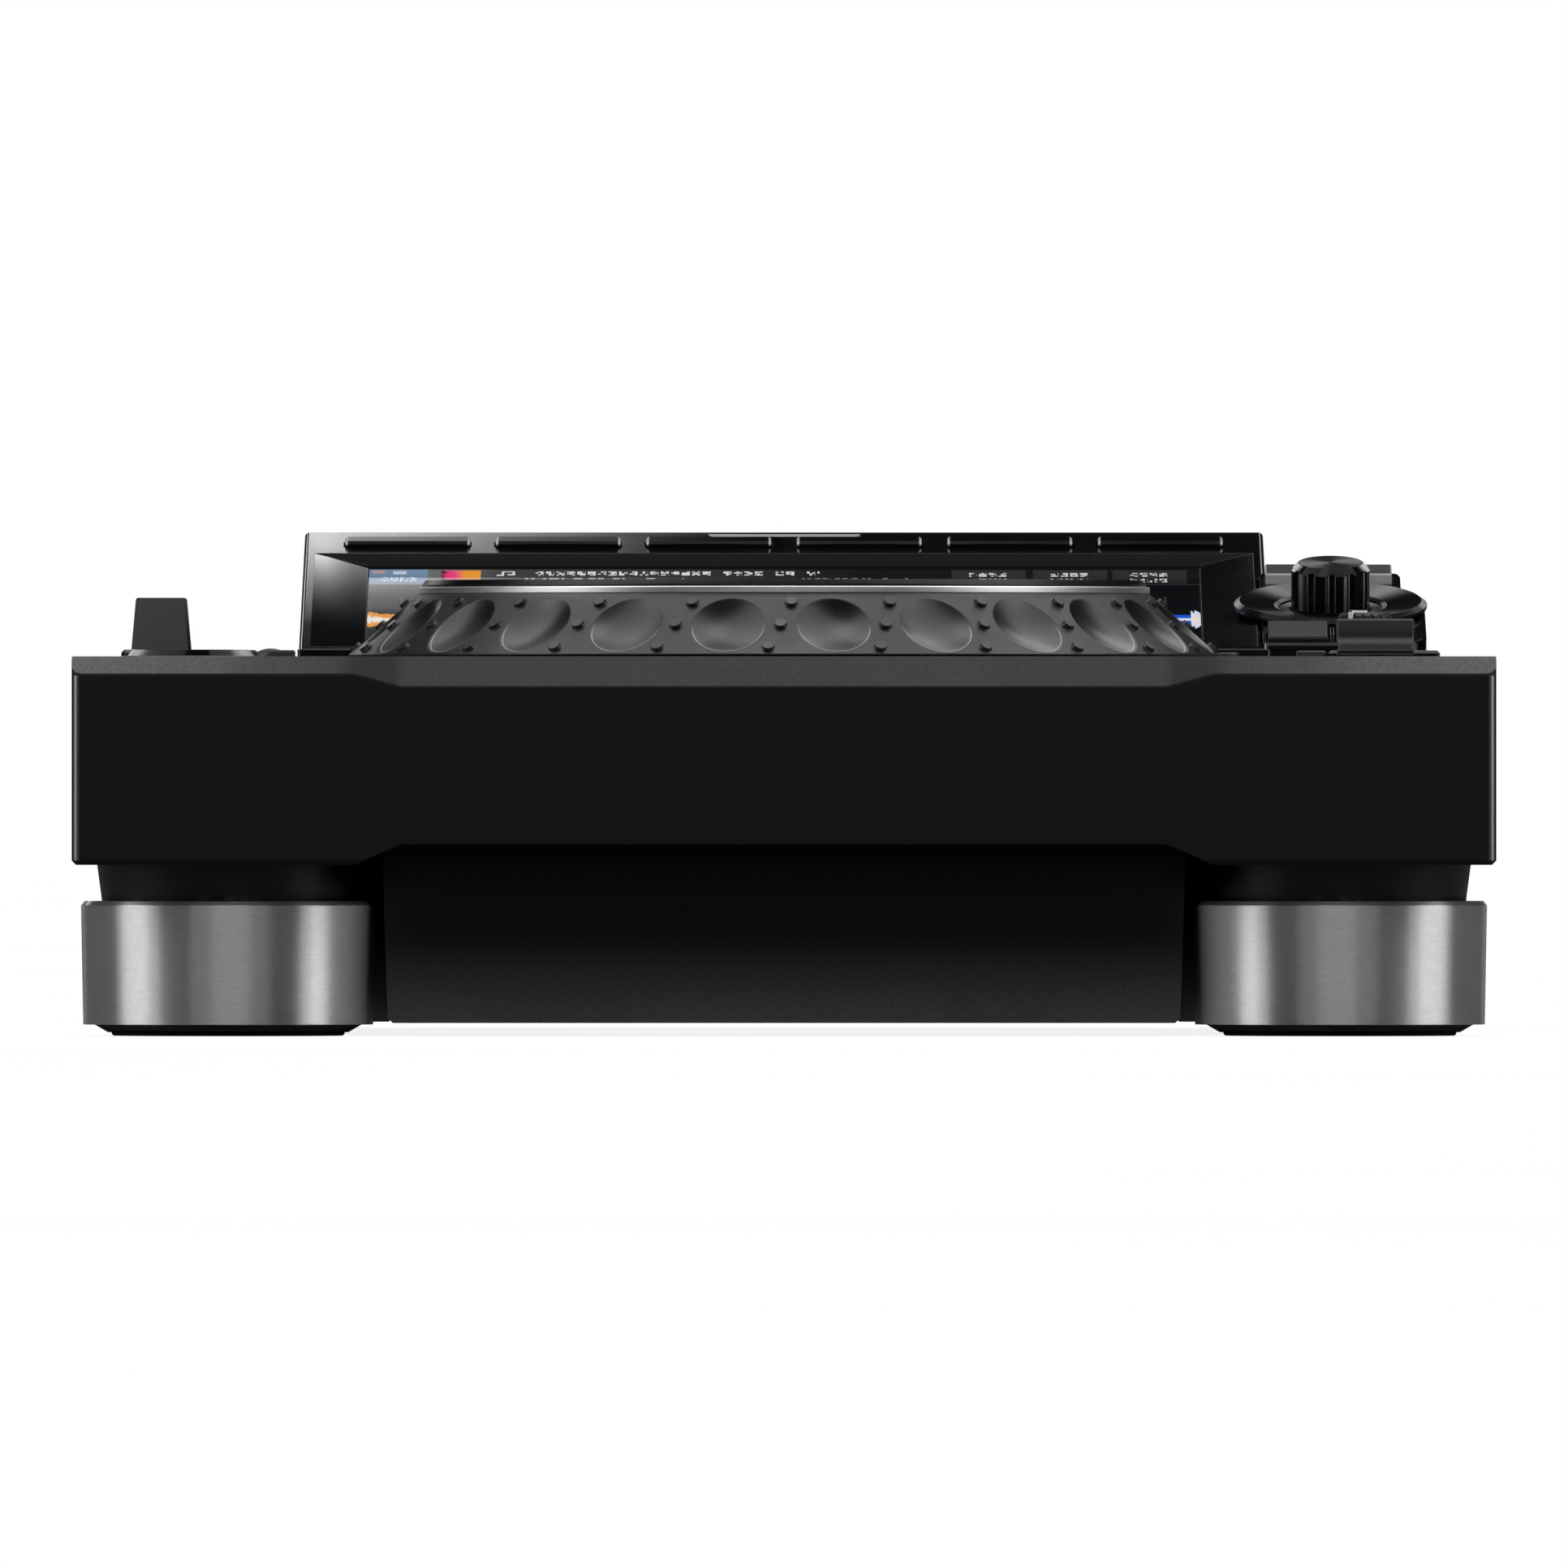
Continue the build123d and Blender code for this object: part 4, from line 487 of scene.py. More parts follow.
def turned(name, base, origin, tilt, rough, pitch=0.55, depth=0.00001, aniso=0.6, metal=1.0, spread=0.10, spec=0.5):
    """a face turned on a lathe: fine concentric lines about an axis"""
    k = Mat(name)
    q = k.local(origin, tilt)
    x, y, z = k.sep(q)
    r = k.vec("LENGTH", k.comb(x, y, 0.0))
    grooves = k.math("SINE", k.math("MULTIPLY", r, 2 * math.pi / pitch))
    ang = k.math("ARCTAN2", y, x)
    lines = k.noise(1.0, 3.0, 0.7, k.comb(k.math("MULTIPLY", r, 6.0), k.math("MULTIPLY", ang, 0.8), 0.0))
    amount = k.math("MULTIPLY", k.ranged(lines, 0.3, 0.7, 1 - spread, 1 + spread), k.ranged(grooves, -1.0, 1.0, 0.93, 1.05))
    t = k.new("ShaderNodeVectorRotate", rotation_type="X_AXIS")
    k.put(t.inputs["Vector"], k.vec("NORMALIZE", k.comb(x, y, 0.0)))
    t.inputs["Angle"].default_value = math.radians(tilt)
    height = k.math("ADD", k.math("MULTIPLY", grooves, 0.5), lines)
    k.shader(k.scaled(base, amount), k.ranged(lines, 0.3, 0.7, rough - 0.05, rough + 0.07), metal=metal, aniso=aniso,
             spec=spec, tangent=t.outputs[0], normal=k.bump(height, depth, 0.5, k.bevel(0.00025)))
    return k.m


PLATE = turned("jog_plate_anodised", rgb(50, 50, 52), JOG_AXIS, 0.0, 0.34, pitch=0.8, depth=0.000014)
BAND = turned("jog_band_polished", rgb(222, 222, 224), JOG_AXIS, 0.0, 0.38, pitch=0.4, depth=0.000004, aniso=0.3)
SEL_O = (130.1, 118.0, 99.8)


def knob_material():
    """gloss black ribbed knob: spun face with a painted pair of reflection fans, painted highlights at the bevel's two
    ends, thin painted highlight streaks down the ribs
    """
    k = Mat("selector_knob_gloss")
    x, y, z = k.sep(k.local(SEL_O, 12.0))
    r = k.vec("LENGTH", k.comb(x, y, 0.0))
    ang = k.math("ARCTAN2", y, x)
    nx, ny, nz = k.normal()
    lines = k.noise(1.0, 2.0, 0.6, k.comb(k.math("MULTIPLY", r, 9.0), k.math("MULTIPLY", ang, 0.6), 0.0))
    grain = k.ranged(lines, 0.3, 0.7, 0.85, 1.15)
    # painted reflection: a pair of light fans on the spun face
    painted_fan = k.math("POWER", k.math("ABSOLUTE", k.math("COSINE", k.math("SUBTRACT", ang, 0.30))), 3.0)
    top = k.math("MULTIPLY", k.ranged(nz, 0.90, 0.96, 0.0, 1.0), k.math("LESS_THAN", r, 7.8))
    colour = k.scaled(rgb(7, 7, 7), grain)
    colour = k.mix(k.math("MULTIPLY", top, painted_fan), colour, k.scaled(rgb(116, 116, 118), grain))
    ax = k.math("ABSOLUTE", nx)
    # painted highlights at the left and right ends of the bevel
    bevel_part = k.math("MULTIPLY", k.ranged(nz, 0.40, 0.50, 0.0, 1.0), k.ranged(nz, 0.84, 0.92, 1.0, 0.0))
    colour = k.mix(k.math("MULTIPLY", bevel_part, k.ranged(ax, 0.56, 0.72, 0.0, 1.0, smooth=True)), colour, rgb(214, 214, 216))
    side = k.ranged(nz, 0.30, 0.40, 1.0, 0.0)

    def streak(a, b, c, d):
        return k.math("MULTIPLY", k.ranged(nx, a, b, 0.0, 1.0, smooth=True), k.ranged(nx, c, d, 1.0, 0.0, smooth=True))

    # painted highlight streaks down the ribs
    lit = k.math("MAXIMUM", streak(0.30, 0.40, 0.44, 0.58), k.math("MULTIPLY", streak(-0.86, -0.80, -0.76, -0.66), 0.5))
    lit = k.math("MAXIMUM", lit, k.math("MULTIPLY", streak(0.80, 0.86, 0.90, 0.96), 0.7))
    lit = k.math("MULTIPLY", k.math("MULTIPLY", lit, side), k.ranged(z, 2.5, 9.0, 0.35, 1.0))
    colour = k.mix(lit, colour, rgb(132, 132, 134))
    t = k.new("ShaderNodeVectorRotate", rotation_type="X_AXIS")
    k.put(t.inputs["Vector"], k.vec("NORMALIZE", k.comb(x, y, 0.0)))
    t.inputs["Angle"].default_value = math.radians(12.0)
    k.shader(colour, k.ranged(lines, 0.3, 0.7, 0.12, 0.20), metal=0.0, spec=0.12, aniso=0.8, tangent=t.outputs[0],
             normal=k.bump(lines, 0.000003, 0.4, k.bevel(0.0002)))
    return k.m


KNOB = knob_material()
ADJ = plastic("adjust_knob_plastic", rgb(30, 30, 31), 0.38, spec=0.45)


def selector_ring_material():
    """gloss black ring with a satin silver floor between it and the knob; painted reflection fans on its flat face and
    painted highlights at the left and right ends of its bevels
    """
    k = Mat("selector_ring")
    x, y, z = k.sep(k.local(SEL_O, 12.0))
    r = k.vec("LENGTH", k.comb(x, y, 0.0))
    ang = k.math("ARCTAN2", y, x)
    silver = k.math("MULTIPLY", k.math("LESS_THAN", r, 12.36), k.math("LESS_THAN", z, 0.66))
    bevel_band = k.math("MULTIPLY", k.math("GREATER_THAN", r, 21.66), k.math("GREATER_THAN", z, 1.45))
    bevel_band = k.math("MAXIMUM", bevel_band, k.math("MULTIPLY", k.math("GREATER_THAN", r, 12.42), k.math("LESS_THAN", r, 13.45)))
    lines = k.noise(1.0, 2.0, 0.6, k.comb(k.math("MULTIPLY", r, 9.0), k.math("MULTIPLY", ang, 0.6), 0.0))
    steps = k.math("SINE", k.math("MULTIPLY", r, 2 * math.pi / 0.9))
    silver_c = k.scaled(rgb(196, 196, 198), k.math("MULTIPLY", k.ranged(lines, 0.3, 0.7, 0.85, 1.1), k.ranged(steps, -1, 1, 0.7, 1.05)))
    wipe = k.noise(60.0, 3.0, 0.6)
    black = k.scaled(rgb(12, 12, 12), k.ranged(wipe, 0.3, 0.7, 0.8, 1.3))
    # painted reflection: fans of light on the flat face
    painted_fan = k.math("POWER", k.math("ABSOLUTE", k.math("SINE", k.math("MULTIPLY", ang, 2.0))), 16.0)
    flat_part = k.math("MULTIPLY", k.math("GREATER_THAN", r, 13.45), k.math("LESS_THAN", r, 21.66))
    black = k.mix(k.math("MULTIPLY", flat_part, painted_fan), black, k.scaled(rgb(74, 74, 76), k.ranged(lines, 0.3, 0.7, 0.85, 1.15)))
    # painted highlights at the left and right ends of the bevels
    painted_end_highlights = k.ranged(k.math("ABSOLUTE", k.math("COSINE", ang)), 0.93, 0.995, 0.0, 1.0, smooth=True)
    colour = k.mix(silver, k.mix(bevel_band, black, k.mix(painted_end_highlights, rgb(22, 22, 23), rgb(206, 206, 208))), silver_c)
    metal = k.math("MAXIMUM", silver, k.math("MULTIPLY", bevel_band, 0.6))
    rough = k.math("ADD", k.ranged(wipe, 0.3, 0.7, 0.14, 0.20), k.math("MULTIPLY", metal, 0.10))
    t = k.new("ShaderNodeVectorRotate", rotation_type="X_AXIS")
    k.put(t.inputs["Vector"], k.vec("NORMALIZE", k.comb(x, y, 0.0)))
    t.inputs["Angle"].default_value = math.radians(12.0)
    k.shader(colour, rough, metal=metal, spec=0.1, aniso=0.85, tangent=t.outputs[0],
             normal=k.bump(lines, 0.000003, 0.4, k.bevel(0.0002)))
    return k.m


def pan_material():
    """black powder coat on sheet steel, with painted light that turns it lighter low down"""
    k = Mat("pan_powder_coat")
    x, y, z = k.sep(k.obj)
    grain = k.noise(1300.0, 3.0, 0.65)
    cloud = k.noise(14.0, 4.0, 0.6)
    # painted light: lighter towards the bottom, darker up under the case
    low = k.ranged(z, 0.002, 0.0255, 1.0, 0.0, smooth=True)
    painted_low_light = k.math("MULTIPLY", low, k.ranged(cloud, 0.3, 0.7, 0.85, 1.1))
    colour = k.mix(painted_low_light, k.scaled(rgb(3, 3, 3), k.ranged(grain, 0.3, 0.7, 0.7, 1.3)),
                   k.scaled(rgb(56, 56, 56), k.ranged(grain, 0.3, 0.7, 0.85, 1.15)))
    k.shader(colour, k.ranged(grain, 0.3, 0.7, 0.46, 0.58), spec=0.12,
             normal=k.bump(grain, 0.00003, 0.5, k.bevel(0.0004)))
    return k.m


def board_material():
    """green solder mask with darker copper runs and small pads"""
    k = Mat("circuit_board")
    x, y, z = k.sep(k.obj)
    brick = k.new("ShaderNodeTexBrick")
    k.put(brick.inputs["Vector"], k.obj)
    brick.inputs["Scale"].default_value = 90.0
    brick.inputs["Mortar Size"].default_value = 0.06
    brick.inputs["Color1"].default_value = rgb(16, 78, 40)
    brick.inputs["Color2"].default_value = rgb(20, 92, 48)
    brick.inputs["Mortar"].default_value = rgb(10, 52, 28)
    vor = k.new("ShaderNodeTexVoronoi")
    k.put(vor.inputs["Vector"], k.obj)
    vor.inputs["Scale"].default_value = 210.0
    dot = k.math("LESS_THAN", vor.outputs["Distance"], 0.16)
    colour = k.mix(dot, brick.outputs["Color"], rgb(190, 170, 110))
    k.shader(colour, k.ranged(k.noise(300.0), 0.3, 0.7, 0.35, 0.5), spec=0.5,
             normal=k.bump(brick.outputs["Fac"], 0.00003, 0.5))
    return k.m


BOARD = board_material()


# ------------------------------------------------------------------ screen
DISP_T = 11.0
DISP_O = (0.0, 192.3, 118.8 - (219.0 - 192.3) * math.tan(math.radians(DISP_T)))


def screen_material():
    """glass over a lit panel: a generic player page, drawn from rectangles and noise columns"""
    k = Mat("screen_glass")
    x, y, z = k.sep(k.local(DISP_O, DISP_T))

    def box(x0, x1, y0, y1):
        a = k.math("LESS_THAN", k.math("ABSOLUTE", k.math("SUBTRACT", x, (x0 + x1) / 2)), (x1 - x0) / 2)
        b = k.math("LESS_THAN", k.math("ABSOLUTE", k.math("SUBTRACT", y, (y0 + y1) / 2)), (y1 - y0) / 2)
        return k.math("MULTIPLY", a, b)

    def strokes(x0, x1, y0, y1, pitch, seed, fill=0.62, gap=0.2):
        """a line of letter-sized marks that spell nothing, with gaps like those between words"""
        u = k.math("DIVIDE", k.math("SUBTRACT", x, x0), pitch)
        cell = k.math("FLOOR", u)
        on = k.math("LESS_THAN", k.math("FRACT", u), fill + 0.12)
        w = k.new("ShaderNodeTexWhiteNoise", noise_dimensions="2D")
        k.put(w.inputs["Vector"], k.comb(cell, seed, 0.0))
        word = k.math("GREATER_THAN", w.outputs["Value"], gap)
        part = k.new("ShaderNodeTexWhiteNoise", noise_dimensions="3D")
        k.put(part.inputs["Vector"], k.comb(k.math("FLOOR", k.math("MULTIPLY", u, 4.0)),
                                            k.math("FLOOR", k.math("DIVIDE", k.math("SUBTRACT", y, y0), (y1 - y0) / 4.0)), seed))
        mark = k.math("GREATER_THAN", part.outputs["Value"], 0.36)
        return k.math("MULTIPLY", k.math("MULTIPLY", k.math("MULTIPLY", on, word), mark), box(x0, x1, y0, y1))

    def column(pitch, seed):
        w = k.new("ShaderNodeTexWhiteNoise", noise_dimensions="2D")
        k.put(w.inputs["Vector"], k.comb(k.math("FLOOR", k.math("DIVIDE", x, pitch)), seed, 0.0))
        return w.outputs["Value"]

    c = rgb(5, 5, 6)[:3] + (1.0,)
    col = k.mix(box(-99.3, 99.3, -117.1, -5.1), rgb(0, 0, 0), rgb(7, 8, 10))
    # header: source block, picture, title line, three label boxes
    head = k.mix(k.ranged(x, -86.0, -66.0, 0.0, 1.0), rgb(118, 118, 119), rgb(62, 62, 63))
    head = k.mix(k.ranged(x, -50.0, 20.0, 0.0, 1.0), head, rgb(12, 12, 13))
    col = k.mix(box(-99.3, 99.3, -24.2, -5.1), col, head)
    shade = k.ranged(y, -23.8, -5.1, 0.75, 1.1)
    col = k.mix(box(-99.3, -85.3, -23.8, -5.4), col, k.scaled(rgb(120, 148, 178), shade))
    col = k.mix(box(-98.6, -95.6, -10.4, -6.6), col, rgb(196, 160, 158))
    col = k.mix(box(-93.6, -90.4, -11.4, -7.2), col, rgb(205, 215, 228))
    col = k.mix(strokes(-96.5, -88.0, -20.4, -15.0, 2.3, 4.0, 0.7, 0.0), col, rgb(200, 210, 224))
    thumb = k.noise(1.0, 2.0, 0.5, k.comb(k.math("MULTIPLY", x, 0.22), k.math("MULTIPLY", y, 0.3), 3.0))
    art = k.mix(k.ranged(k.math("ADD", k.math("MULTIPLY", thumb, 6.0), x), -76.0, -73.0, 0.0, 1.0), rgb(244, 64, 132), rgb(246, 160, 52))
    art = k.mix(k.ranged(k.math("SUBTRACT", x, k.math("MULTIPLY", thumb, 5.0)), -84.5, -83.0, 1.0, 0.0), art, rgb(44, 24, 60))
    art = k.mix(k.ranged(y, -22.0, -15.0, 0.8, 0.0), art, rgb(58, 34, 76))
    col = k.mix(box(-82.0, -72.6, -22.6, -6.4), col, art)
    note = k.math("MAXIMUM", k.math("MAXIMUM", box(-67.6, -67.0, -12.6, -8.0), box(-65.0, -64.4, -11.8, -7.6)),
                  k.math("MAXIMUM", box(-67.6, -64.4, -8.6, -7.6), k.math("MAXIMUM", box(-68.8, -67.0, -13.4, -11.8), box(-66.2, -64.4, -12.6, -11.0))))
    col = k.mix(note, col, rgb(226, 226, 228))
    col = k.mix(strokes(-62.0, 8.5, -12.8, -7.8, 2.5, 1.0, 0.66, 0.16), col, rgb(222, 222, 224))
    col = k.mix(strokes(-62.0, -24.0, -21.6, -16.2, 2.9, 2.0, 0.7, 0.12), col, rgb(190, 194, 200))
    col = k.mix(strokes(2.0, 30.0, -21.4, -16.4, 2.4, 6.0, 0.7, 0.12), col, rgb(150, 154, 160))
    for i, x0 in enumerate((40.1, 59.6, 78.6)):
        col = k.mix(box(x0, x0 + 17.8, -23.4, -6.0), col, k.scaled(rgb(44, 45, 48), shade))
        col = k.mix(strokes(x0 + 4.2, x0 + 13.6, -14.4, -9.6, 2.35, 9.0 + i, 0.68, 0.0), col, rgb(206, 206, 208))
        col = k.mix(strokes(x0 + 4.2, x0 + 13.6, -21.6, -17.0, 2.35, 14.0 + i, 0.68, 0.0), col, rgb(206, 206, 208))
    # list rows over the wave
    col = k.mix(box(-99.3, 99.3, -25.0, -24.4), col, rgb(58, 62, 70))
    # wave field
    col = k.mix(box(-99.3, 99.3, -98.0, -40.0), col, rgb(10, 11, 15))
    grid = k.math("LESS_THAN", k.math("FRACT", k.math("DIVIDE", k.math("ADD", x, 0.3), 15.2)), 0.022)
    col = k.mix(k.math("MULTIPLY", grid, box(-99.3, 99.3, -98.0, -40.0)), col, rgb(74, 76, 84))
    away = k.math("ABSOLUTE", k.math("ADD", y, 69.0))
    beat = k.math("FRACT", k.math("DIVIDE", k.math("ADD", x, 100.6), 15.2))
    kick = k.math("POWER", k.math("SUBTRACT", 1.0, beat), 2.6)
    swell = k.noise(1.0, 2.0, 0.5, k.comb(k.math("MULTIPLY", x, 0.045), 0.0, 0.0))
    env = k.math("ADD", k.math("MULTIPLY", kick, 0.42), k.math("ADD", k.math("MULTIPLY", swell, 0.30), 0.35))
    a1 = k.math("MULTIPLY", k.math("MULTIPLY", env, 12.5), k.ranged(column(0.55, 21.0), 0.0, 1.0, 0.82, 1.0))
    a2 = k.math("MULTIPLY", k.math("MULTIPLY", k.math("MULTIPLY", env, kick), 16.0), k.ranged(column(0.55, 22.0), 0.0, 1.0, 0.5, 1.0))
    a3 = k.math("MULTIPLY", k.math("MULTIPLY", kick, 8.5), k.ranged(column(0.55, 23.0), 0.0, 1.0, 0.4, 1.0))
    a2 = k.math("ADD", a2, 1.6)
    left = k.ranged(x, -90.0, -78.0, 1.0, 0.0)
    right = k.ranged(x, 80.0, 88.0, 0.0, 1.0)
    blue = k.mix(left, rgb(24, 92, 232), rgb(244, 156, 44))
    wave = box(-99.3, 99.3, -96.0, -42.0)
    col = k.mix(k.math("MULTIPLY", wave, k.math("LESS_THAN", away, a1)), col, blue)
    col = k.mix(k.math("MULTIPLY", wave, k.math("LESS_THAN", away, a2)), col, k.mix(right, rgb(246, 164, 60), rgb(235, 240, 252)))
    col = k.mix(k.math("MULTIPLY", wave, k.math("LESS_THAN", away, a3)), col, rgb(250, 244, 236))
    col = k.mix(box(-0.45, 0.45, -97.0, -41.0), col, rgb(236, 60, 56))
    # beat boxes over the wave, whole-track strip and lower buttons
    for i in range(4):
        col = k.mix(box(-14.0 + i * 7.2, -8.6 + i * 7.2, -38.2, -35.4), col, rgb(206, 120, 40) if i == 1 else rgb(52, 56, 64))
    col = k.mix(box(-99.3, 99.3, -107.6, -98.6), col, rgb(14, 15, 19))
    low = k.math("ADD", y, 107.2)
    strip = k.math("LESS_THAN", low, k.math("MULTIPLY", k.ranged(k.noise(1.0, 3.0, 0.6, k.comb(k.math("MULTIPLY", x, 0.11), 4.0, 0.0)), 0.25, 0.7, 1.5, 8.0),
                                              k.ranged(column(0.8, 41.0), 0.0, 1.0, 0.6, 1.0)))
    strip = k.math("MULTIPLY", strip, box(-84.0, 84.0, -107.2, -99.0))
    col = k.mix(strip, col, k.mix(k.ranged(x, -30.0, -29.0, 0.0, 1.0), rgb(52, 74, 116), rgb(88, 150, 236)))
    col = k.mix(box(-30.3, -29.7, -107.4, -98.8), col, rgb(240, 240, 240))
    col = k.mix(box(-99.3, 99.3, -117.1, -108.4), col, rgb(38, 40, 44))
    for i in range(6):
        x0 = -97.6 + i * 32.8
        col = k.mix(box(x0, x0 + 31.2, -116.4, -109.2), col, rgb(54, 57, 63))
        col = k.mix(strokes(x0 + 8.0, x0 + 23.4, -114.6, -111.2, 2.3, 51.0 + i, 0.62, 0.08), col, rgb(186, 188, 194))
    # light falls off a little towards the sides, pixels are faintly visible close up
    fall = k.ranged(k.math("ABSOLUTE", x), 40.0, 99.0, 1.0, 0.86)
    px = k.math("MULTIPLY", k.ranged(k.math("FRACT", k.math("DIVIDE", x, 0.16)), 0.0, 1.0, 0.94, 1.04),
                k.ranged(k.math("FRACT", k.math("DIVIDE", y, 0.16)), 0.0, 1.0, 0.95, 1.03))
    lit = k.scaled(col, k.math("MULTIPLY", fall, px))
    wipe = k.noise(26.0, 4.0, 0.6)
    k.shader(rgb(4, 4, 5), k.ranged(wipe, 0.3, 0.7, 0.05, 0.09), spec=0.12, emit=lit, emit_k=0.9,
             normal=k.bevel(0.0002))
    return k.m


def jog_screen_material():
    """small round screen in the middle of the wheel: a ring, ticks and a position mark"""
    k = Mat("jog_screen")
    x, y, z = k.sep(k.local(JOG_AXIS))
    r = k.vec("LENGTH", k.comb(x, y, 0.0))
    ang = k.math("ARCTAN2", y, x)
    top = k.math("GREATER_THAN", z, 105.0)

    def band(r0, r1):
        return k.math("MULTIPLY", k.math("GREATER_THAN", r, r0), k.math("LESS_THAN", r, r1))

    tick = k.math("LESS_THAN", k.math("FRACT", k.math("MULTIPLY", ang, 60 / (2 * math.pi))), 0.14)
    big = k.math("LESS_THAN", k.math("FRACT", k.math("ADD", k.math("MULTIPLY", ang, 12 / (2 * math.pi)), 0.03)), 0.06)
    glow = k.ranged(r, 0.0, 20.0, 1.0, 0.25)
    col = k.mix(k.math("LESS_THAN", r, 28.6), rgb(0, 0, 0), rgb(8, 9, 12))
    col = k.mix(band(0.0, 15.5), col, k.scaled(rgb(30, 60, 112), glow))
    grain = k.noise(1.0, 3.0, 0.6, k.comb(k.math("MULTIPLY", x, 0.5), k.math("MULTIPLY", y, 0.5), 0.0))
    col = k.mix(k.math("MULTIPLY", band(0.0, 15.0), k.ranged(grain, 0.5, 0.7, 0.0, 0.5)), col, rgb(120, 160, 220))
    col = k.mix(k.math("MULTIPLY", tick, band(24.4, 26.0)), col, rgb(150, 152, 156))
    col = k.mix(k.math("MULTIPLY", big, band(23.2, 26.0)), col, rgb(225, 226, 228))
    col = k.mix(band(26.9, 27.7), col, rgb(60, 120, 235))
    mark = k.math("LESS_THAN", k.math("ABSOLUTE", k.math("SUBTRACT", ang, 1.05)), 0.045)
    col = k.mix(k.math("MULTIPLY", mark, band(16.5, 27.7)), col, rgb(245, 245, 245))
    played = k.math("MULTIPLY", k.math("LESS_THAN", k.math("ABSOLUTE", k.math("SUBTRACT", ang, 1.9)), 0.8), band(20.2, 21.6))
    col = k.mix(played, col, rgb(236, 150, 50))
    lit = k.scaled(col, top)
    k.shader(rgb(6, 6, 7), k.ranged(k.noise(40.0, 4.0), 0.3, 0.7, 0.04, 0.09), spec=0.5, emit=lit, emit_k=0.8,
             normal=k.bevel(0.0002))
    return k.m


def rear_panel_material():
    """grained black rear panel"""
    k = Mat("rear_panel")
    x, y, z = k.sep(k.local((0, 0, 0)))
    fine = k.noise(1700.0, 3.0, 0.65)
    cloud = k.noise(20.0, 4.0, 0.6)
    amount = k.math("MULTIPLY", k.ranged(fine, 0.3, 0.7, 0.8, 1.2), k.ranged(cloud, 0.3, 0.7, 0.92, 1.08))
    k.shader(k.scaled(rgb(24, 24, 25), amount), k.ranged(fine, 0.3, 0.7, 0.42, 0.54), spec=0.35,
             normal=k.bump(fine, 0.00003, 0.6, k.bevel(0.0003)))
    return k.m


def inner_gloss_housing():
    """display housing: polished black; the sloping sides of the recess catch a soft sheen"""
    k = Mat("housing_gloss")
    x, y, z = k.sep(k.local(DISP_O, DISP_T))
    wipe = k.stretched(26.0, 9.0, 26.0, 4.0, 0.6)
    dust = k.ranged(k.noise(850.0, 1.0, 0.5), 0.73, 0.80, 0.0, 1.0)
    colour = k.mix(k.math("MULTIPLY", dust, 0.3), rgb(8, 8, 8), rgb(64, 64, 66))
    step = k.math("MULTIPLY", k.math("LESS_THAN", k.math("ABSOLUTE", k.math("ADD", y, 0.2)), 0.6), k.math("LESS_THAN", z, -0.05))
    rough = k.math("ADD", k.ranged(wipe, 0.35, 0.7, 0.05, 0.11), k.math("MULTIPLY", dust, 0.12))
    rough = k.math("ADD", rough, k.math("MULTIPLY", step, 0.6))
    nx, ny, nz = k.normal()
    slope = k.math("MULTIPLY", k.math("GREATER_THAN", k.math("ABSOLUTE", nx), 0.12), k.math("LESS_THAN", k.math("ABSOLUTE", nx), 0.4))
    slope = k.math("MULTIPLY", slope, k.math("LESS_THAN", z, 0.1))
    # a pale strip along the far wall of the pocket, rougher than the rest
    pocket = k.math("MULTIPLY", k.math("LESS_THAN", k.math("ABSOLUTE", x), 18.6), k.math("LESS_THAN", k.math("ABSOLUTE", k.math("SUBTRACT", y, 24.6)), 0.08))
    pocket = k.math("MULTIPLY", pocket, k.math("LESS_THAN", z, -0.02))
    colour = k.mix(pocket, colour, rgb(196, 196, 198))
    rough = k.math("ADD", rough, k.math("MULTIPLY", pocket, 0.3))
    shift = k.vec("SCALE", (0.0, -0.29, 0.0), scale=slope)
    tilted = k.vec("NORMALIZE", k.vec("ADD", k.bevel(0.0003), shift))
    k.shader(colour, rough, spec=0.5, normal=k.bump(k.noise(120.0, 2.0, 0.5), 0.000002, 0.25, tilted))
    return k.m


HOUSING = inner_gloss_housing()
SCREEN = screen_material()


def inside(k, v, centre, half):
    return k.math("LESS_THAN", k.math("ABSOLUTE", k.math("SUBTRACT", v, centre)), half)


def jack_material():
    """nickel jacks with coloured insulators and black collars"""
    k = Mat("phono_jacks")
    x, y, z = k.sep(k.local((0, 0, 0)))
    smear = k.noise(90.0, 3.0, 0.6)
    plastic_part, tint = None, rgb(26, 26, 27)
    collar = None
    for cx, c in ((-30.0, rgb(222, 222, 220)), (-12.0, rgb(186, 34, 30)), (12.0, rgb(214, 122, 34))):
        r = k.vec("LENGTH", k.comb(k.math("SUBTRACT", x, cx), k.math("SUBTRACT", z, 63.0), 0.0))
        core = k.math("LESS_THAN", r, 3.34)
        ring = k.math("MULTIPLY", k.math("MULTIPLY", k.math("GREATER_THAN", r, 4.2), k.math("LESS_THAN", r, 5.3)), k.math("LESS_THAN", y, 219.3))
        tint = k.mix(core, tint, c)
        plastic_part = core if plastic_part is None else k.math("MAXIMUM", plastic_part, core)
        collar = ring if collar is None else k.math("MAXIMUM", collar, ring)
    soft_part = k.math("MAXIMUM", plastic_part, collar)
    nickel = k.scaled(rgb(198, 198, 194), k.ranged(smear, 0.3, 0.7, 0.9, 1.06))
    colour = k.mix(soft_part, nickel, k.scaled(tint, k.ranged(smear, 0.3, 0.7, 0.9, 1.06)))
    k.shader(colour, k.ranged(smear, 0.3, 0.7, 0.20, 0.34), metal=k.math("SUBTRACT", 1.0, soft_part), normal=k.bevel(0.0002))
    return k.m


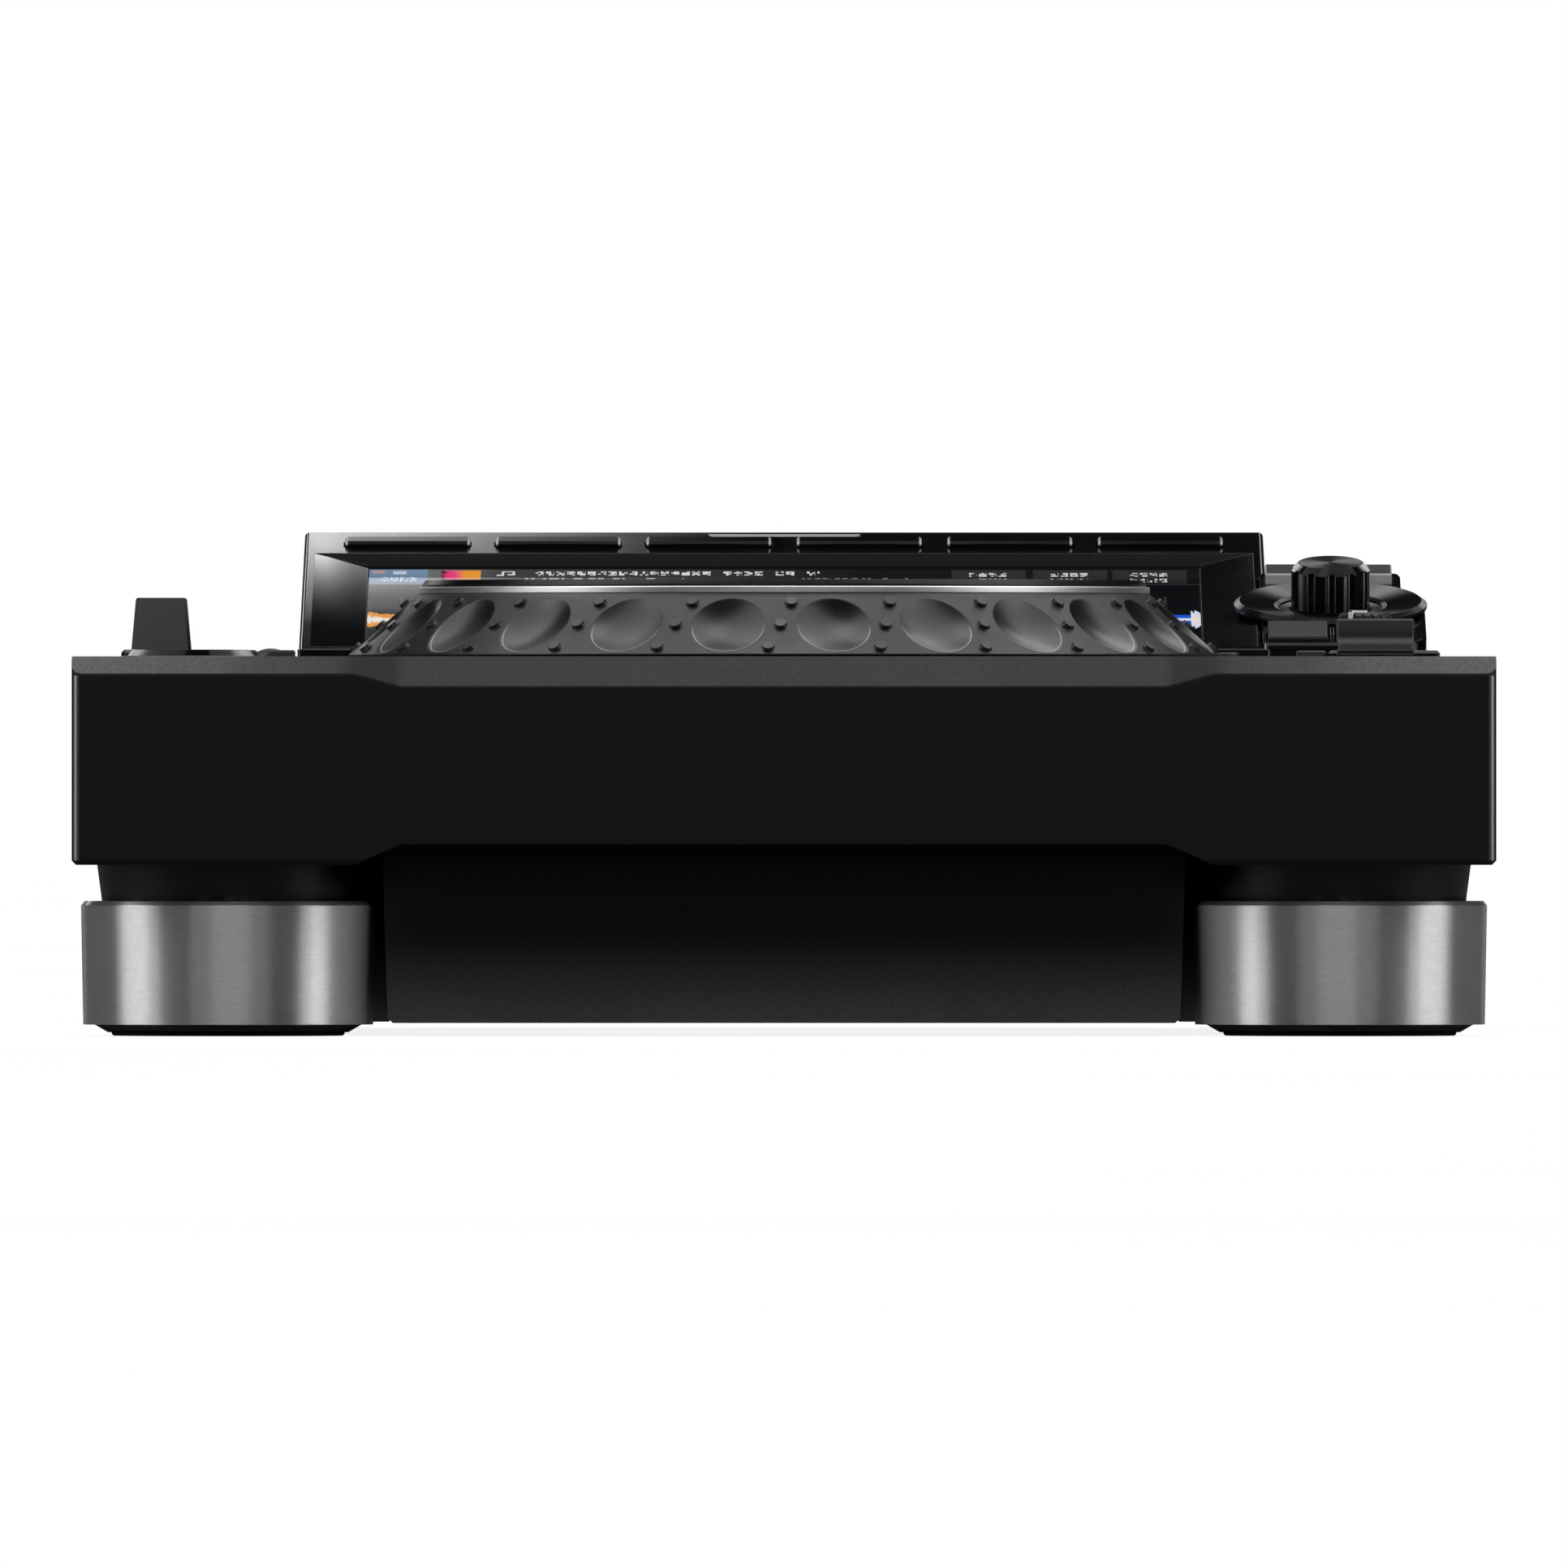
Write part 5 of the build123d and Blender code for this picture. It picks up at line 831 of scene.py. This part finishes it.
def port_material():
    """plated shields, dark inside, with a pale tongue in the square port"""
    k = Mat("network_ports")
    x, y, z = k.sep(k.local((0, 0, 0)))
    smear = k.noise(80.0, 4.0, 0.6)
    tongue = k.math("MULTIPLY", inside(k, x, -70.0, 2.84), inside(k, z, 63.0, 1.64))
    deep = k.math("LESS_THAN", y, 215.6)
    black = k.math("MULTIPLY", deep, k.math("SUBTRACT", 1.0, tongue))
    plate = k.scaled(rgb(192, 192, 188), k.ranged(smear, 0.3, 0.7, 0.9, 1.06))
    colour = k.mix(black, k.mix(tongue, plate, rgb(206, 206, 202)), k.scaled(rgb(22, 22, 23), k.ranged(smear, 0.3, 0.7, 0.8, 1.2)))
    plain = k.math("MAXIMUM", black, tongue)
    k.shader(colour, k.ranged(smear, 0.3, 0.7, 0.26, 0.40), metal=k.math("SUBTRACT", 1.0, plain), normal=k.bevel(0.0002))
    return k.m


def usb_material():
    """plated shield with a dark tongue"""
    k = Mat("usb_socket")
    x, y, z = k.sep(k.local((0, 0, 0)))
    smear = k.noise(80.0, 4.0, 0.6)
    tongue = k.math("MULTIPLY", k.math("MULTIPLY", inside(k, x, -140.0, 5.56), inside(k, y, 169.3, 0.96)), inside(k, z, 80.6, 5.9))
    plate = k.scaled(rgb(192, 192, 188), k.ranged(smear, 0.3, 0.7, 0.9, 1.06))
    colour = k.mix(tongue, plate, k.scaled(rgb(28, 28, 30), k.ranged(smear, 0.3, 0.7, 0.85, 1.15)))
    k.shader(colour, k.ranged(smear, 0.3, 0.7, 0.26, 0.40), metal=k.math("SUBTRACT", 1.0, tongue), normal=k.bevel(0.0002))
    return k.m


def inlet_material():
    """black moulded inlet with nickel pins"""
    k = Mat("power_inlet")
    x, y, z = k.sep(k.local((0, 0, 0)))
    fine = k.noise(1500.0, 3.0, 0.6)
    pins = None
    for cx, cz in ((98.0, 61.0), (112.0, 61.0), (105.0, 65.0)):
        pin = k.math("MULTIPLY", inside(k, x, cx, 1.1), inside(k, z, cz, 2.1))
        pins = pin if pins is None else k.math("MAXIMUM", pins, pin)
    pins = k.math("MULTIPLY", pins, k.math("GREATER_THAN", y, 200.6))
    colour = k.mix(pins, k.scaled(rgb(20, 20, 21), k.ranged(fine, 0.3, 0.7, 0.85, 1.15)), k.scaled(rgb(196, 196, 192), k.ranged(fine, 0.3, 0.7, 0.93, 1.05)))
    k.shader(colour, k.math("SUBTRACT", k.ranged(fine, 0.3, 0.7, 0.40, 0.52), k.math("MULTIPLY", pins, 0.18)), metal=pins, spec=0.35,
             normal=k.bump(fine, 0.00001, 0.5, k.bevel(0.0003)))
    return k.m



USE = {
    "main_case": CASE, "top_panel": PANEL, "tempo_plate": GLOSS, "bottom_pan": pan_material(),
    "foot_necks": NECK, "foot_rings": RING, "foot_pads": RUBBER, "case_screws": SCREW,
    "rear_panel": rear_panel_material(), "ac_inlet": inlet_material(), "audio_jacks": jack_material(), "network_ports": port_material(),
    "usb_port": usb_material(), "display_housing": HOUSING, "display_glass": SCREEN, "lcd_module": SOCKET,
    "selector_pedestal": PEDESTAL, "selector_ring": selector_ring_material(), "fader_unit": SHIELD,
    "jog_base": SOCKET, "jog_display": jog_screen_material(), "control_board": BOARD, "main_board": BOARD,
    "power_supply": BOARD, "jog_skirt": JOG, "jog_band": BAND, "jog_top_plate": PLATE,
    "selector_shaft": SHIELD, "selector_knob": KNOB, "play_key": ROUNDKEY, "cue_key": ROUNDKEY,
    "direction_lever": LEVER, "tempo_fader_cap": CAP, "jog_adjust_knob": ADJ, "power_rocker": SOCKET,
    "loop_in_key": KEY, "loop_out_key": KEY, "jog_mode_key": KEY, "sync_key": KEY, "master_tempo_key": KEY,
    "track_prev_key": KEY, "track_next_key": KEY, "back_key": KEY_R, "tag_key": KEY_R, "filter_key": KEY_F, "shortcut_key": KEY_F,
}
for i in range(1, 7):
    USE["menu_key_%d" % i] = MENUKEY
for i in range(1, 9):
    USE["hot_cue_pad_%d" % i] = PAD
for n, o in NODES.items():
    m = USE[n]
    if not o.material_slots:
        o.data.materials.append(m)
    for s in o.material_slots:
        s.material = m

# ------------------------------------------------------------------ added pieces
M_TOP = Matrix.Identity(4)
M_DISP = Matrix.Translation([c * MM for c in DISP_O]) @ Matrix.Rotation(math.radians(DISP_T), 4, "X")
M_SEL = Matrix.Translation([c * MM for c in SEL_O]) @ Matrix.Rotation(math.radians(12.0), 4, "X")


def finish_mesh(name, bm, m, body, smooth=True, angle=35):
    me = bpy.data.meshes.new(name)
    bmesh.ops.recalc_face_normals(bm, faces=bm.faces)
    bm.to_mesh(me)
    bm.free()
    o = bpy.data.objects.new(name, me)
    bpy.context.scene.collection.objects.link(o)
    me.materials.append(m)
    if smooth:
        for p in me.polygons:
            p.use_smooth = True
        me.set_sharp_from_angle(angle=math.radians(angle))
    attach(o, body)
    return o


def lathe(name, profile, centre, m, body, segs=96, plane=M_TOP):
    """closed profile of (r, z) in mm turned about an axis through centre (x, y) in a plane"""
    bm = bmesh.new()
    rings = []
    for i in range(segs):
        a = 2 * math.pi * i / segs
        rings.append([bm.verts.new(plane @ (Vector((centre[0] + r * math.cos(a), centre[1] + r * math.sin(a), z)) * MM))
                      for r, z in profile])
    n = len(profile)
    for i in range(segs):
        p, q = rings[i], rings[(i + 1) % segs]
        for j in range(n):
            bm.faces.new((p[j], p[(j + 1) % n], q[(j + 1) % n], q[j]))
    return finish_mesh(name, bm, m, body)


def prisms(name, shapes, z0, z1, m, body, plane=M_TOP, inset=0.0):
    """flat shapes [(x, y), ...] in mm, raised from z0 to z1, as one piece"""
    bm = bmesh.new()
    for pts in shapes:
        lo = [bm.verts.new(plane @ (Vector((x, y, z0)) * MM)) for x, y in pts]
        hi = [bm.verts.new(plane @ (Vector((x, y, z1)) * MM)) for x, y in pts]
        bm.faces.new(list(reversed(lo)))
        bm.faces.new(hi)
        for i in range(len(pts)):
            j = (i + 1) % len(pts)
            bm.faces.new((lo[i], lo[j], hi[j], hi[i]))
    return finish_mesh(name, bm, m, body, smooth=False)


def rect(cx, cy, w, d):
    return [(cx - w / 2, cy - d / 2), (cx + w / 2, cy - d / 2), (cx + w / 2, cy + d / 2), (cx - w / 2, cy + d / 2)]


def line(x0, y0, x1, y1, t):
    d = Vector((x1 - x0, y1 - y0)).normalized() * t / 2
    n = Vector((-d.y, d.x))
    return [(x0 + n.x, y0 + n.y), (x0 - n.x, y0 - n.y), (x1 - n.x, y1 - n.y), (x1 + n.x, y1 + n.y)]


def arc_strip(cx, cy, r, t, a0, a1, steps=24):
    out = [(cx + (r + t / 2) * math.cos(a0 + (a1 - a0) * i / steps), cy + (r + t / 2) * math.sin(a0 + (a1 - a0) * i / steps))
           for i in range(steps + 1)]
    out += [(cx + (r - t / 2) * math.cos(a0 + (a1 - a0) * i / steps), cy + (r - t / 2) * math.sin(a0 + (a1 - a0) * i / steps))
            for i in range(steps, -1, -1)]
    return out


def led(name, base, glow, strength):
    """cloudy light guide, a little uneven in brightness"""
    k = Mat(name)
    cloud = k.noise(260.0, 3.0, 0.6)
    k.shader(k.scaled(base, k.ranged(cloud, 0.3, 0.7, 0.85, 1.15)), k.ranged(cloud, 0.3, 0.7, 0.22, 0.36), spec=0.5,
             emit=k.scaled(glow, k.ranged(cloud, 0.3, 0.7, 0.75, 1.15)), emit_k=strength, normal=k.bevel(0.0002))
    return k.m


def ink(name, base, rough=0.5):
    """screen-printed ink, thin at places"""
    k = Mat(name)
    n = k.noise(1400.0, 3.0, 0.6)
    k.shader(k.scaled(base, k.ranged(n, 0.3, 0.7, 0.82, 1.1)), k.ranged(n, 0.3, 0.7, rough - 0.08, rough + 0.08), spec=0.35,
             normal=k.bump(n, 0.00001, 0.5))
    return k.m


GREEN = led("led_green", rgb(8, 34, 18), rgb(30, 150, 74), 0.10)
AMBER = led("led_amber", rgb(60, 34, 10), rgb(255, 150, 30), 0.25)
ORANGE = led("led_orange", rgb(120, 60, 25), rgb(230, 96, 30), 0.5)
BLUE = led("led_blue", rgb(30, 50, 120), rgb(60, 120, 255), 0.9)
RED = led("led_red", rgb(120, 26, 22), rgb(255, 50, 36), 0.8)
WHITE = ink("ink_white", rgb(214, 214, 212))
GREY = ink("ink_grey", rgb(132, 133, 135))
Z_TOP = 87.8

# light rings round the two large keys
for nm, (cx, cy), m in (("play_light_ring", (-137.5, -195.0), GREEN), ("cue_light_ring", (-137.5, -158.0), AMBER)):
    lathe(nm, [(14.93, Z_TOP - 0.6), (15.75, Z_TOP - 0.6), (15.75, Z_TOP + 0.04), (15.6, Z_TOP + 0.16), (15.1, Z_TOP + 0.16), (14.93, Z_TOP + 0.04)],
          (cx, cy), m, "player", 128)
for nm, (cx, cy) in (("loop_in_light", (-121.1, 16.0)), ("loop_out_light", (-121.1, 34.0))):
    lathe(nm, [(4.95, Z_TOP - 0.4), (5.75, Z_TOP - 0.4), (5.75, Z_TOP + 0.1), (5.6, Z_TOP + 0.25), (5.1, Z_TOP + 0.25), (4.95, Z_TOP + 0.12)],
          (cx, cy), ORANGE, "player", 64)

# printed symbols on keys
prisms("play_symbol", [[(-142.6, -197.8), (-142.6, -192.2), (-137.8, -195.0)], rect(-135.2, -195.0, 1.3, 5.2), rect(-132.6, -195.0, 1.3, 5.2)],
       89.36, 89.43, WHITE, "play_key")
prisms("cue_symbol", [arc_strip(-137.5, -158.0, 3.1, 0.7, 0, 2 * math.pi - 0.02, 48)], 89.36, 89.43, WHITE, "cue_key")

# thin lit line along the far edge of each pad
PAD_LIGHT = led("pad_light", rgb(18, 70, 84), rgb(40, 170, 200), 0.5)
for i in range(1, 9):
    c0, c1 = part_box("hot_cue_pad_%d" % i)
    cx, yb, zt = (c0[0] + c1[0]) * 500.0, c1[1] * 1000.0, c1[2] * 1000.0
    prisms("pad_light_%d" % i, [rect(cx, yb - 1.7, 12.0, 0.5)], zt - 0.3, zt + 0.02, PAD_LIGHT, "hot_cue_pad_%d" % i)

# tempo scale: ticks each side of the slot
ticks = []
for i in range(21):
    y = -150.0 + (i - 10) * 5.0
    w = 5.0 if i % 10 == 0 else (3.4 if i % 5 == 0 else 2.0)
    for s in (-1, 1):
        ticks.append(rect(137.45 + s * (10.6 + w / 2), y, w, 0.35))
prisms("tempo_scale", ticks, Z_TOP - 0.02, Z_TOP + 0.03, GREY, "player")

# white pointer over the rib of the jog-adjust knob
M_RIB = (Matrix.Translation(Vector((136.6, -18.0, 0.0)) * MM) @ Matrix.Rotation(math.radians(-123.0), 4, "Z")
         @ Matrix.Rotation(math.radians(90.0), 4, "X"))
prisms("adjust_pointer", [[(-0.40, 98.45), (5.72, 98.45), (5.72, 89.2), (6.40, 89.2), (6.40, 98.55), (6.24, 98.98), (5.80, 99.14), (-0.40, 99.14)]],
       -0.49, 0.49, WHITE, "jog_adjust", plane=M_RIB)
# white index line in the groove of the fader cap
prisms("fader_index", [rect(137.45, -150.0, 17.2, 0.74)], 96.28, 96.44, WHITE, "tempo_fader")
# dividing rib between the two front keys of the selector pedestal
prisms("pedestal_divider", [rect(-0.30, -31.8, 0.22, 9.4), rect(0.40, -31.8, 0.22, 9.4)], -0.05, 1.5, KEY_F, "player", plane=M_SEL)

# rear: contacts in the ports, printed brackets and numbers on the panel, marks on the rocker
GOLD = sheet_metal("gold_contacts", rgb(214, 172, 92), 0.26, 0.5)
M_BACK = Matrix.Translation(Vector((0.0, 217.5, 63.0)) * MM) @ Matrix.Rotation(math.radians(-90.0), 4, "X")
for n, cx in enumerate((-118.0, -96.0)):
    prisms("lan_contacts_%d" % (n + 1), [rect(cx + (i - 3.5) * 1.02, -2.55, 0.45, 1.2) for i in range(8)], -9.0, -1.4, GOLD, "player", plane=M_BACK)
prisms("usb_b_contacts", [rect(-70.0 + sx * 1.4, sz * 1.72, 1.1, 0.2) for sx in (-1, 1) for sz in (-1, 1)], -10.5, -2.4, GOLD, "player", plane=M_BACK)
prisms("usb_a_contacts", [rect(-140.0 + dx, 168.34, 1.0, 0.16) for dx in (-3.5, -1.0, 1.0, 3.5)], 76.5, 85.6, GOLD, "player")


def bracket(x0, x1, zt, drop):
    """three thin strokes over a group of connectors, open downwards"""
    t = 0.4
    return [rect((x0 + x1) / 2, -zt, x1 - x0, t), rect(x0 + t / 2, -zt + drop / 2 + t / 2, t, drop), rect(x1 - t / 2, -zt + drop / 2 + t / 2, t, drop)]


marks = bracket(-127.0, -87.0, 12.6, 3.0) + bracket(-78.5, -61.5, 12.6, 3.0) + bracket(-37.0, -5.0, 12.6, 3.0) + bracket(5.0, 19.0, 12.6, 3.0)
# numbers over the two network sockets, read from behind
marks += [rect(-96.0, -9.2, 0.4, 2.6)]
marks += [rect(-118.0, -10.4, 1.9, 0.4), rect(-118.0, -9.2, 1.9, 0.4), rect(-118.0, -8.0, 1.9, 0.4),
          rect(-118.75, -9.8, 0.4, 1.6), rect(-117.25, -8.6, 0.4, 1.6)]
prisms("panel_marks", marks, -0.02, 0.03, GREY, "player", plane=M_BACK)
M_ROCK = Matrix.Translation(Vector((70.0, 213.0, 63.0)) * MM) @ Matrix.Rotation(math.radians(7.0), 4, "X") @ Matrix.Translation(Vector((0.0, 5.2, 0.0)) * MM)
M_ROCK_UP = M_ROCK @ Matrix.Rotation(math.radians(-6.79 - 90.0), 4, "X")
M_ROCK_LOW = M_ROCK @ Matrix.Rotation(math.radians(6.79 - 90.0), 4, "X")
prisms("rocker_mark_off", [arc_strip(0.0, -5.0, 1.35, 0.45, 0, 2 * math.pi - 0.02, 40)], -0.03, 0.03, WHITE, "power_rocker", plane=M_ROCK_UP)
prisms("rocker_mark_on", [rect(0.0, 5.0, 0.45, 3.0)], -0.03, 0.03, WHITE, "power_rocker", plane=M_ROCK_LOW)

floor_z = -0.0001


def floor_material():
    """pale studio floor: white to the camera with a soft contact shadow, a dull bounce to everything else"""
    k = Mat("floor")
    n = k.noise(1.5, 3.0, 0.5)
    ao = k.new("ShaderNodeAmbientOcclusion", samples=8)
    ao.inputs["Distance"].default_value = 0.012
    shade = k.ranged(ao.outputs["AO"], 0.0, 1.0, 0.86, 1.0)
    lit = k.new("ShaderNodeEmission")
    k.put(lit.inputs["Color"], k.scaled((1.0, 1.0, 1.0), k.math("MULTIPLY", shade, k.ranged(n, 0.3, 0.7, 0.995, 1.005))))
    bounce = k.new("ShaderNodeBsdfDiffuse")
    bounce.inputs["Color"].default_value = (0.75, 0.75, 0.75, 1)
    dim = k.new("ShaderNodeBsdfDiffuse")
    dim.inputs["Color"].default_value = (0.16, 0.16, 0.16, 1)
    path = k.new("ShaderNodeLightPath")

    def either(fac, first, second):
        m = k.new("ShaderNodeMixShader")
        k.put(m.inputs[0], fac)
        k.put(m.inputs[1], first)
        k.put(m.inputs[2], second)
        return m.outputs[0]

    s = either(path.outputs["Is Glossy Ray"], bounce.outputs[0], dim.outputs[0])
    s = either(path.outputs["Is Camera Ray"], s, lit.outputs[0])
    clear = k.new("ShaderNodeBsdfTransparent")
    geo = k.new("ShaderNodeNewGeometry")
    k.t.links.new(either(geo.outputs["Backfacing"], s, clear.outputs[0]), k.out.inputs["Surface"])
    return k.m


bm = bmesh.new()
S = 60.0
vs = [bm.verts.new((x, y, floor_z)) for x, y in ((-S, -S), (S, -S), (S, S), (-S, S))]
bm.faces.new(vs)
me = bpy.data.meshes.new("studio_floor")
bm.to_mesh(me)
bm.free()
floor = bpy.data.objects.new("studio_floor", me)
bpy.context.scene.collection.objects.link(floor)
me.materials.append(floor_material())

# ------------------------------------------------------------------ light
world = bpy.data.worlds.new("studio")
bpy.context.scene.world = world
world.use_nodes = True
wt = world.node_tree
wt.nodes.clear()
wout = wt.nodes.new("ShaderNodeOutputWorld")
path = wt.nodes.new("ShaderNodeLightPath")
white = wt.nodes.new("ShaderNodeBackground")
white.inputs[0].default_value = (1, 1, 1, 1)
white.inputs[1].default_value = 1.0
dark = wt.nodes.new("ShaderNodeBackground")
dark.inputs[0].default_value = (1, 1, 1, 1)
dark.inputs[1].default_value = 0.05
black = wt.nodes.new("ShaderNodeBackground")
black.inputs[0].default_value = (1, 1, 1, 1)
black.inputs[1].default_value = 0.008
gmix = wt.nodes.new("ShaderNodeMixShader")
wt.links.new(path.outputs["Is Glossy Ray"], gmix.inputs[0])
wt.links.new(dark.outputs[0], gmix.inputs[1])
wt.links.new(black.outputs[0], gmix.inputs[2])
wmix = wt.nodes.new("ShaderNodeMixShader")
wt.links.new(path.outputs["Is Camera Ray"], wmix.inputs[0])
wt.links.new(gmix.outputs[0], wmix.inputs[1])
wt.links.new(white.outputs[0], wmix.inputs[2])
wt.links.new(wmix.outputs[0], wout.inputs["Surface"])


def softbox(name, loc, target, w, h, radiance, fade=None):
    """rectangular soft light; radiance is what a mirror would show. fade is not used"""
    d = bpy.data.lights.new(name, "AREA")
    d.shape = "RECTANGLE"
    d.size, d.size_y = w, h
    d.energy = 4.0 * w * h * radiance
    o = bpy.data.objects.new(name, d)
    bpy.context.scene.collection.objects.link(o)
    o.location = loc
    o.rotation_mode = "QUATERNION"
    o.rotation_quaternion = (Vector(target) - Vector(loc)).to_track_quat("-Z", "Y")
    o.visible_camera = False
    return o


softbox("light_left", (-1.46, -0.52, 0.80), (-0.13, -0.26, 0.80), 1.06, 1.58, 0.92)
softbox("light_right", (1.46, -0.52, 0.80), (0.13, -0.26, 0.80), 1.06, 1.58, 0.92)
softbox("light_left_core", (-1.45, -0.46, 0.80), (-0.13, -0.20, 0.80), 0.62, 1.58, 1.20)
softbox("light_right_core", (1.45, -0.46, 0.80), (0.13, -0.20, 0.80), 0.62, 1.58, 1.20)
softbox("light_front", (0.0, -2.6, 0.95), (0.0, 0.0, 0.95), 3.0, 1.2, 0.57)
softbox("light_front_core", (0.0, -2.58, 0.95), (0.0, 0.0, 0.95), 1.3, 1.2, 0.60)
softbox("light_top_left", (-0.50, -0.15, 0.60), (-0.42, -0.10, 0.0), 0.62, 1.1, 1.3)
softbox("light_top_right", (0.50, -0.15, 0.60), (0.42, -0.10, 0.0), 0.62, 1.1, 1.3)
softbox("light_rear", (0.4, 1.5, 1.5), (0.0, 0.0, 0.1), 1.2, 0.7, 1.6)
softbox("light_rear_low", (0.0, 2.2, 0.18), (0.0, 0.0, 0.15), 2.6, 0.2, 0.45)
lo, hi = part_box("bottom_pan")
under = softbox("light_under", ((lo[0] + hi[0]) / 2, (lo[1] + hi[1]) / 2, lo[2] * 0.4), ((lo[0] + hi[0]) / 2, (lo[1] + hi[1]) / 2, 0.1), hi[0] - lo[0] - 0.004, hi[1] - lo[1] - 0.014, 0.42)
under.rotation_quaternion = (0.0, 1.0, 0.0, 0.0)
under.visible_glossy = False


def fade_card(name, y, x0, x1, z0, z1, strength):
    """upright card behind the object with a soft gradient; only gloss shows it"""
    k = Mat(name)
    x, yy, z = k.sep(k.obj)
    e = k.new("ShaderNodeEmission")
    k.put(e.inputs["Color"], (1, 1, 1, 1))
    k.put(e.inputs["Strength"], strength(k, x, z))
    k.t.links.new(e.outputs[0], k.out.inputs["Surface"])
    bm = bmesh.new()
    bm.faces.new([bm.verts.new(v) for v in ((x0, y, z0), (x1, y, z0), (x1, y, z1), (x0, y, z1))])
    me = bpy.data.meshes.new(name)
    bm.to_mesh(me)
    bm.free()
    o = bpy.data.objects.new(name, me)
    bpy.context.scene.collection.objects.link(o)
    me.materials.append(k.m)
    o.visible_camera = o.visible_diffuse = o.visible_shadow = o.visible_transmission = False
    return o


def rim_gradient(k, x, z):
    """bright at the left, dark by the middle"""
    a = k.math("POWER", k.ranged(x, -0.116, 0.0, 1.0, 0.0), 1.95)
    return k.math("MULTIPLY", k.math("MULTIPLY", a, k.ranged(z, 0.3265, 0.3300, 1.0, 0.0)), 1.97)


def slope_gradient(k, x, z):
    """bright below, falling off upwards and away from the housing side"""
    a = k.math("POWER", k.ranged(z, 0.243, 0.345, 1.2546, 0.0), 3.4)
    deep = k.math("DIVIDE", k.math("SUBTRACT", 0.4449, z), 1.0362)
    x0 = k.math("SUBTRACT", x, k.math("MULTIPLY", k.math("SUBTRACT", 0.30, deep), 0.293))
    f = k.math("POWER", k.ranged(x0, -0.1116, -0.1010, 1.0, 0.0), 2.4)
    return k.math("MULTIPLY", k.math("MULTIPLY", a, k.math("ADD", 0.195, k.math("MULTIPLY", f, 0.805))), 3.6)


fade_card("studio_card_rim", 0.72, -0.60, 0.0, 0.27, 0.331, rim_gradient)
fade_card("studio_card_slope", 0.30, -0.095, -0.025, 0.236, 0.450, slope_gradient)



def gap_card(name, side):
    """strip beside the pan, facing a front foot ring; only gloss shows it"""
    k = Mat(name)
    x, yy, z = k.sep(k.obj)
    e = k.new("ShaderNodeEmission")
    k.put(e.inputs["Color"], (1, 1, 1, 1))
    k.put(e.inputs["Strength"], k.math("MULTIPLY", k.ranged(yy, -0.230, -0.214, 0.0, 0.40), k.ranged(yy, -0.214, -0.189, 1.0, 0.0)))
    both = k.new("ShaderNodeAddShader")
    k.put(both.inputs[0], e.outputs[0])
    k.put(both.inputs[1], k.new("ShaderNodeBsdfTransparent").outputs[0])
    k.t.links.new(both.outputs[0], k.out.inputs["Surface"])
    bm = bmesh.new()
    xx = side * 0.0928
    bm.faces.new([bm.verts.new(v) for v in ((xx, -0.230, 0.0), (xx, -0.187, 0.0), (xx, -0.187, 0.033), (xx, -0.230, 0.033))])
    me = bpy.data.meshes.new(name)
    bm.to_mesh(me)
    bm.free()
    o = bpy.data.objects.new(name, me)
    bpy.context.scene.collection.objects.link(o)
    me.materials.append(k.m)
    o.visible_camera = o.visible_diffuse = o.visible_shadow = o.visible_transmission = False
    return o


gap_card("studio_card_gap_left", -1)
gap_card("studio_card_gap_right", 1)

# ------------------------------------------------------------------ camera
cam = bpy.data.cameras.new("camera")
cam.sensor_width = 36.0
cam.lens = 5.337 * 11000.0 * 36.0 / 1932.0
cam.clip_start, cam.clip_end = 0.5, 120.0
co = bpy.data.objects.new("camera", cam)
bpy.context.scene.collection.objects.link(co)
co.location = (0.0, -0.2265 - 11.0, 0.0583)
co.rotation_euler = (math.radians(90), 0, 0)
bpy.context.scene.camera = co
bpy.context.scene.view_settings.view_transform = "Standard"
bpy.context.scene.view_settings.look = "None"

bpy.context.view_layer.update()
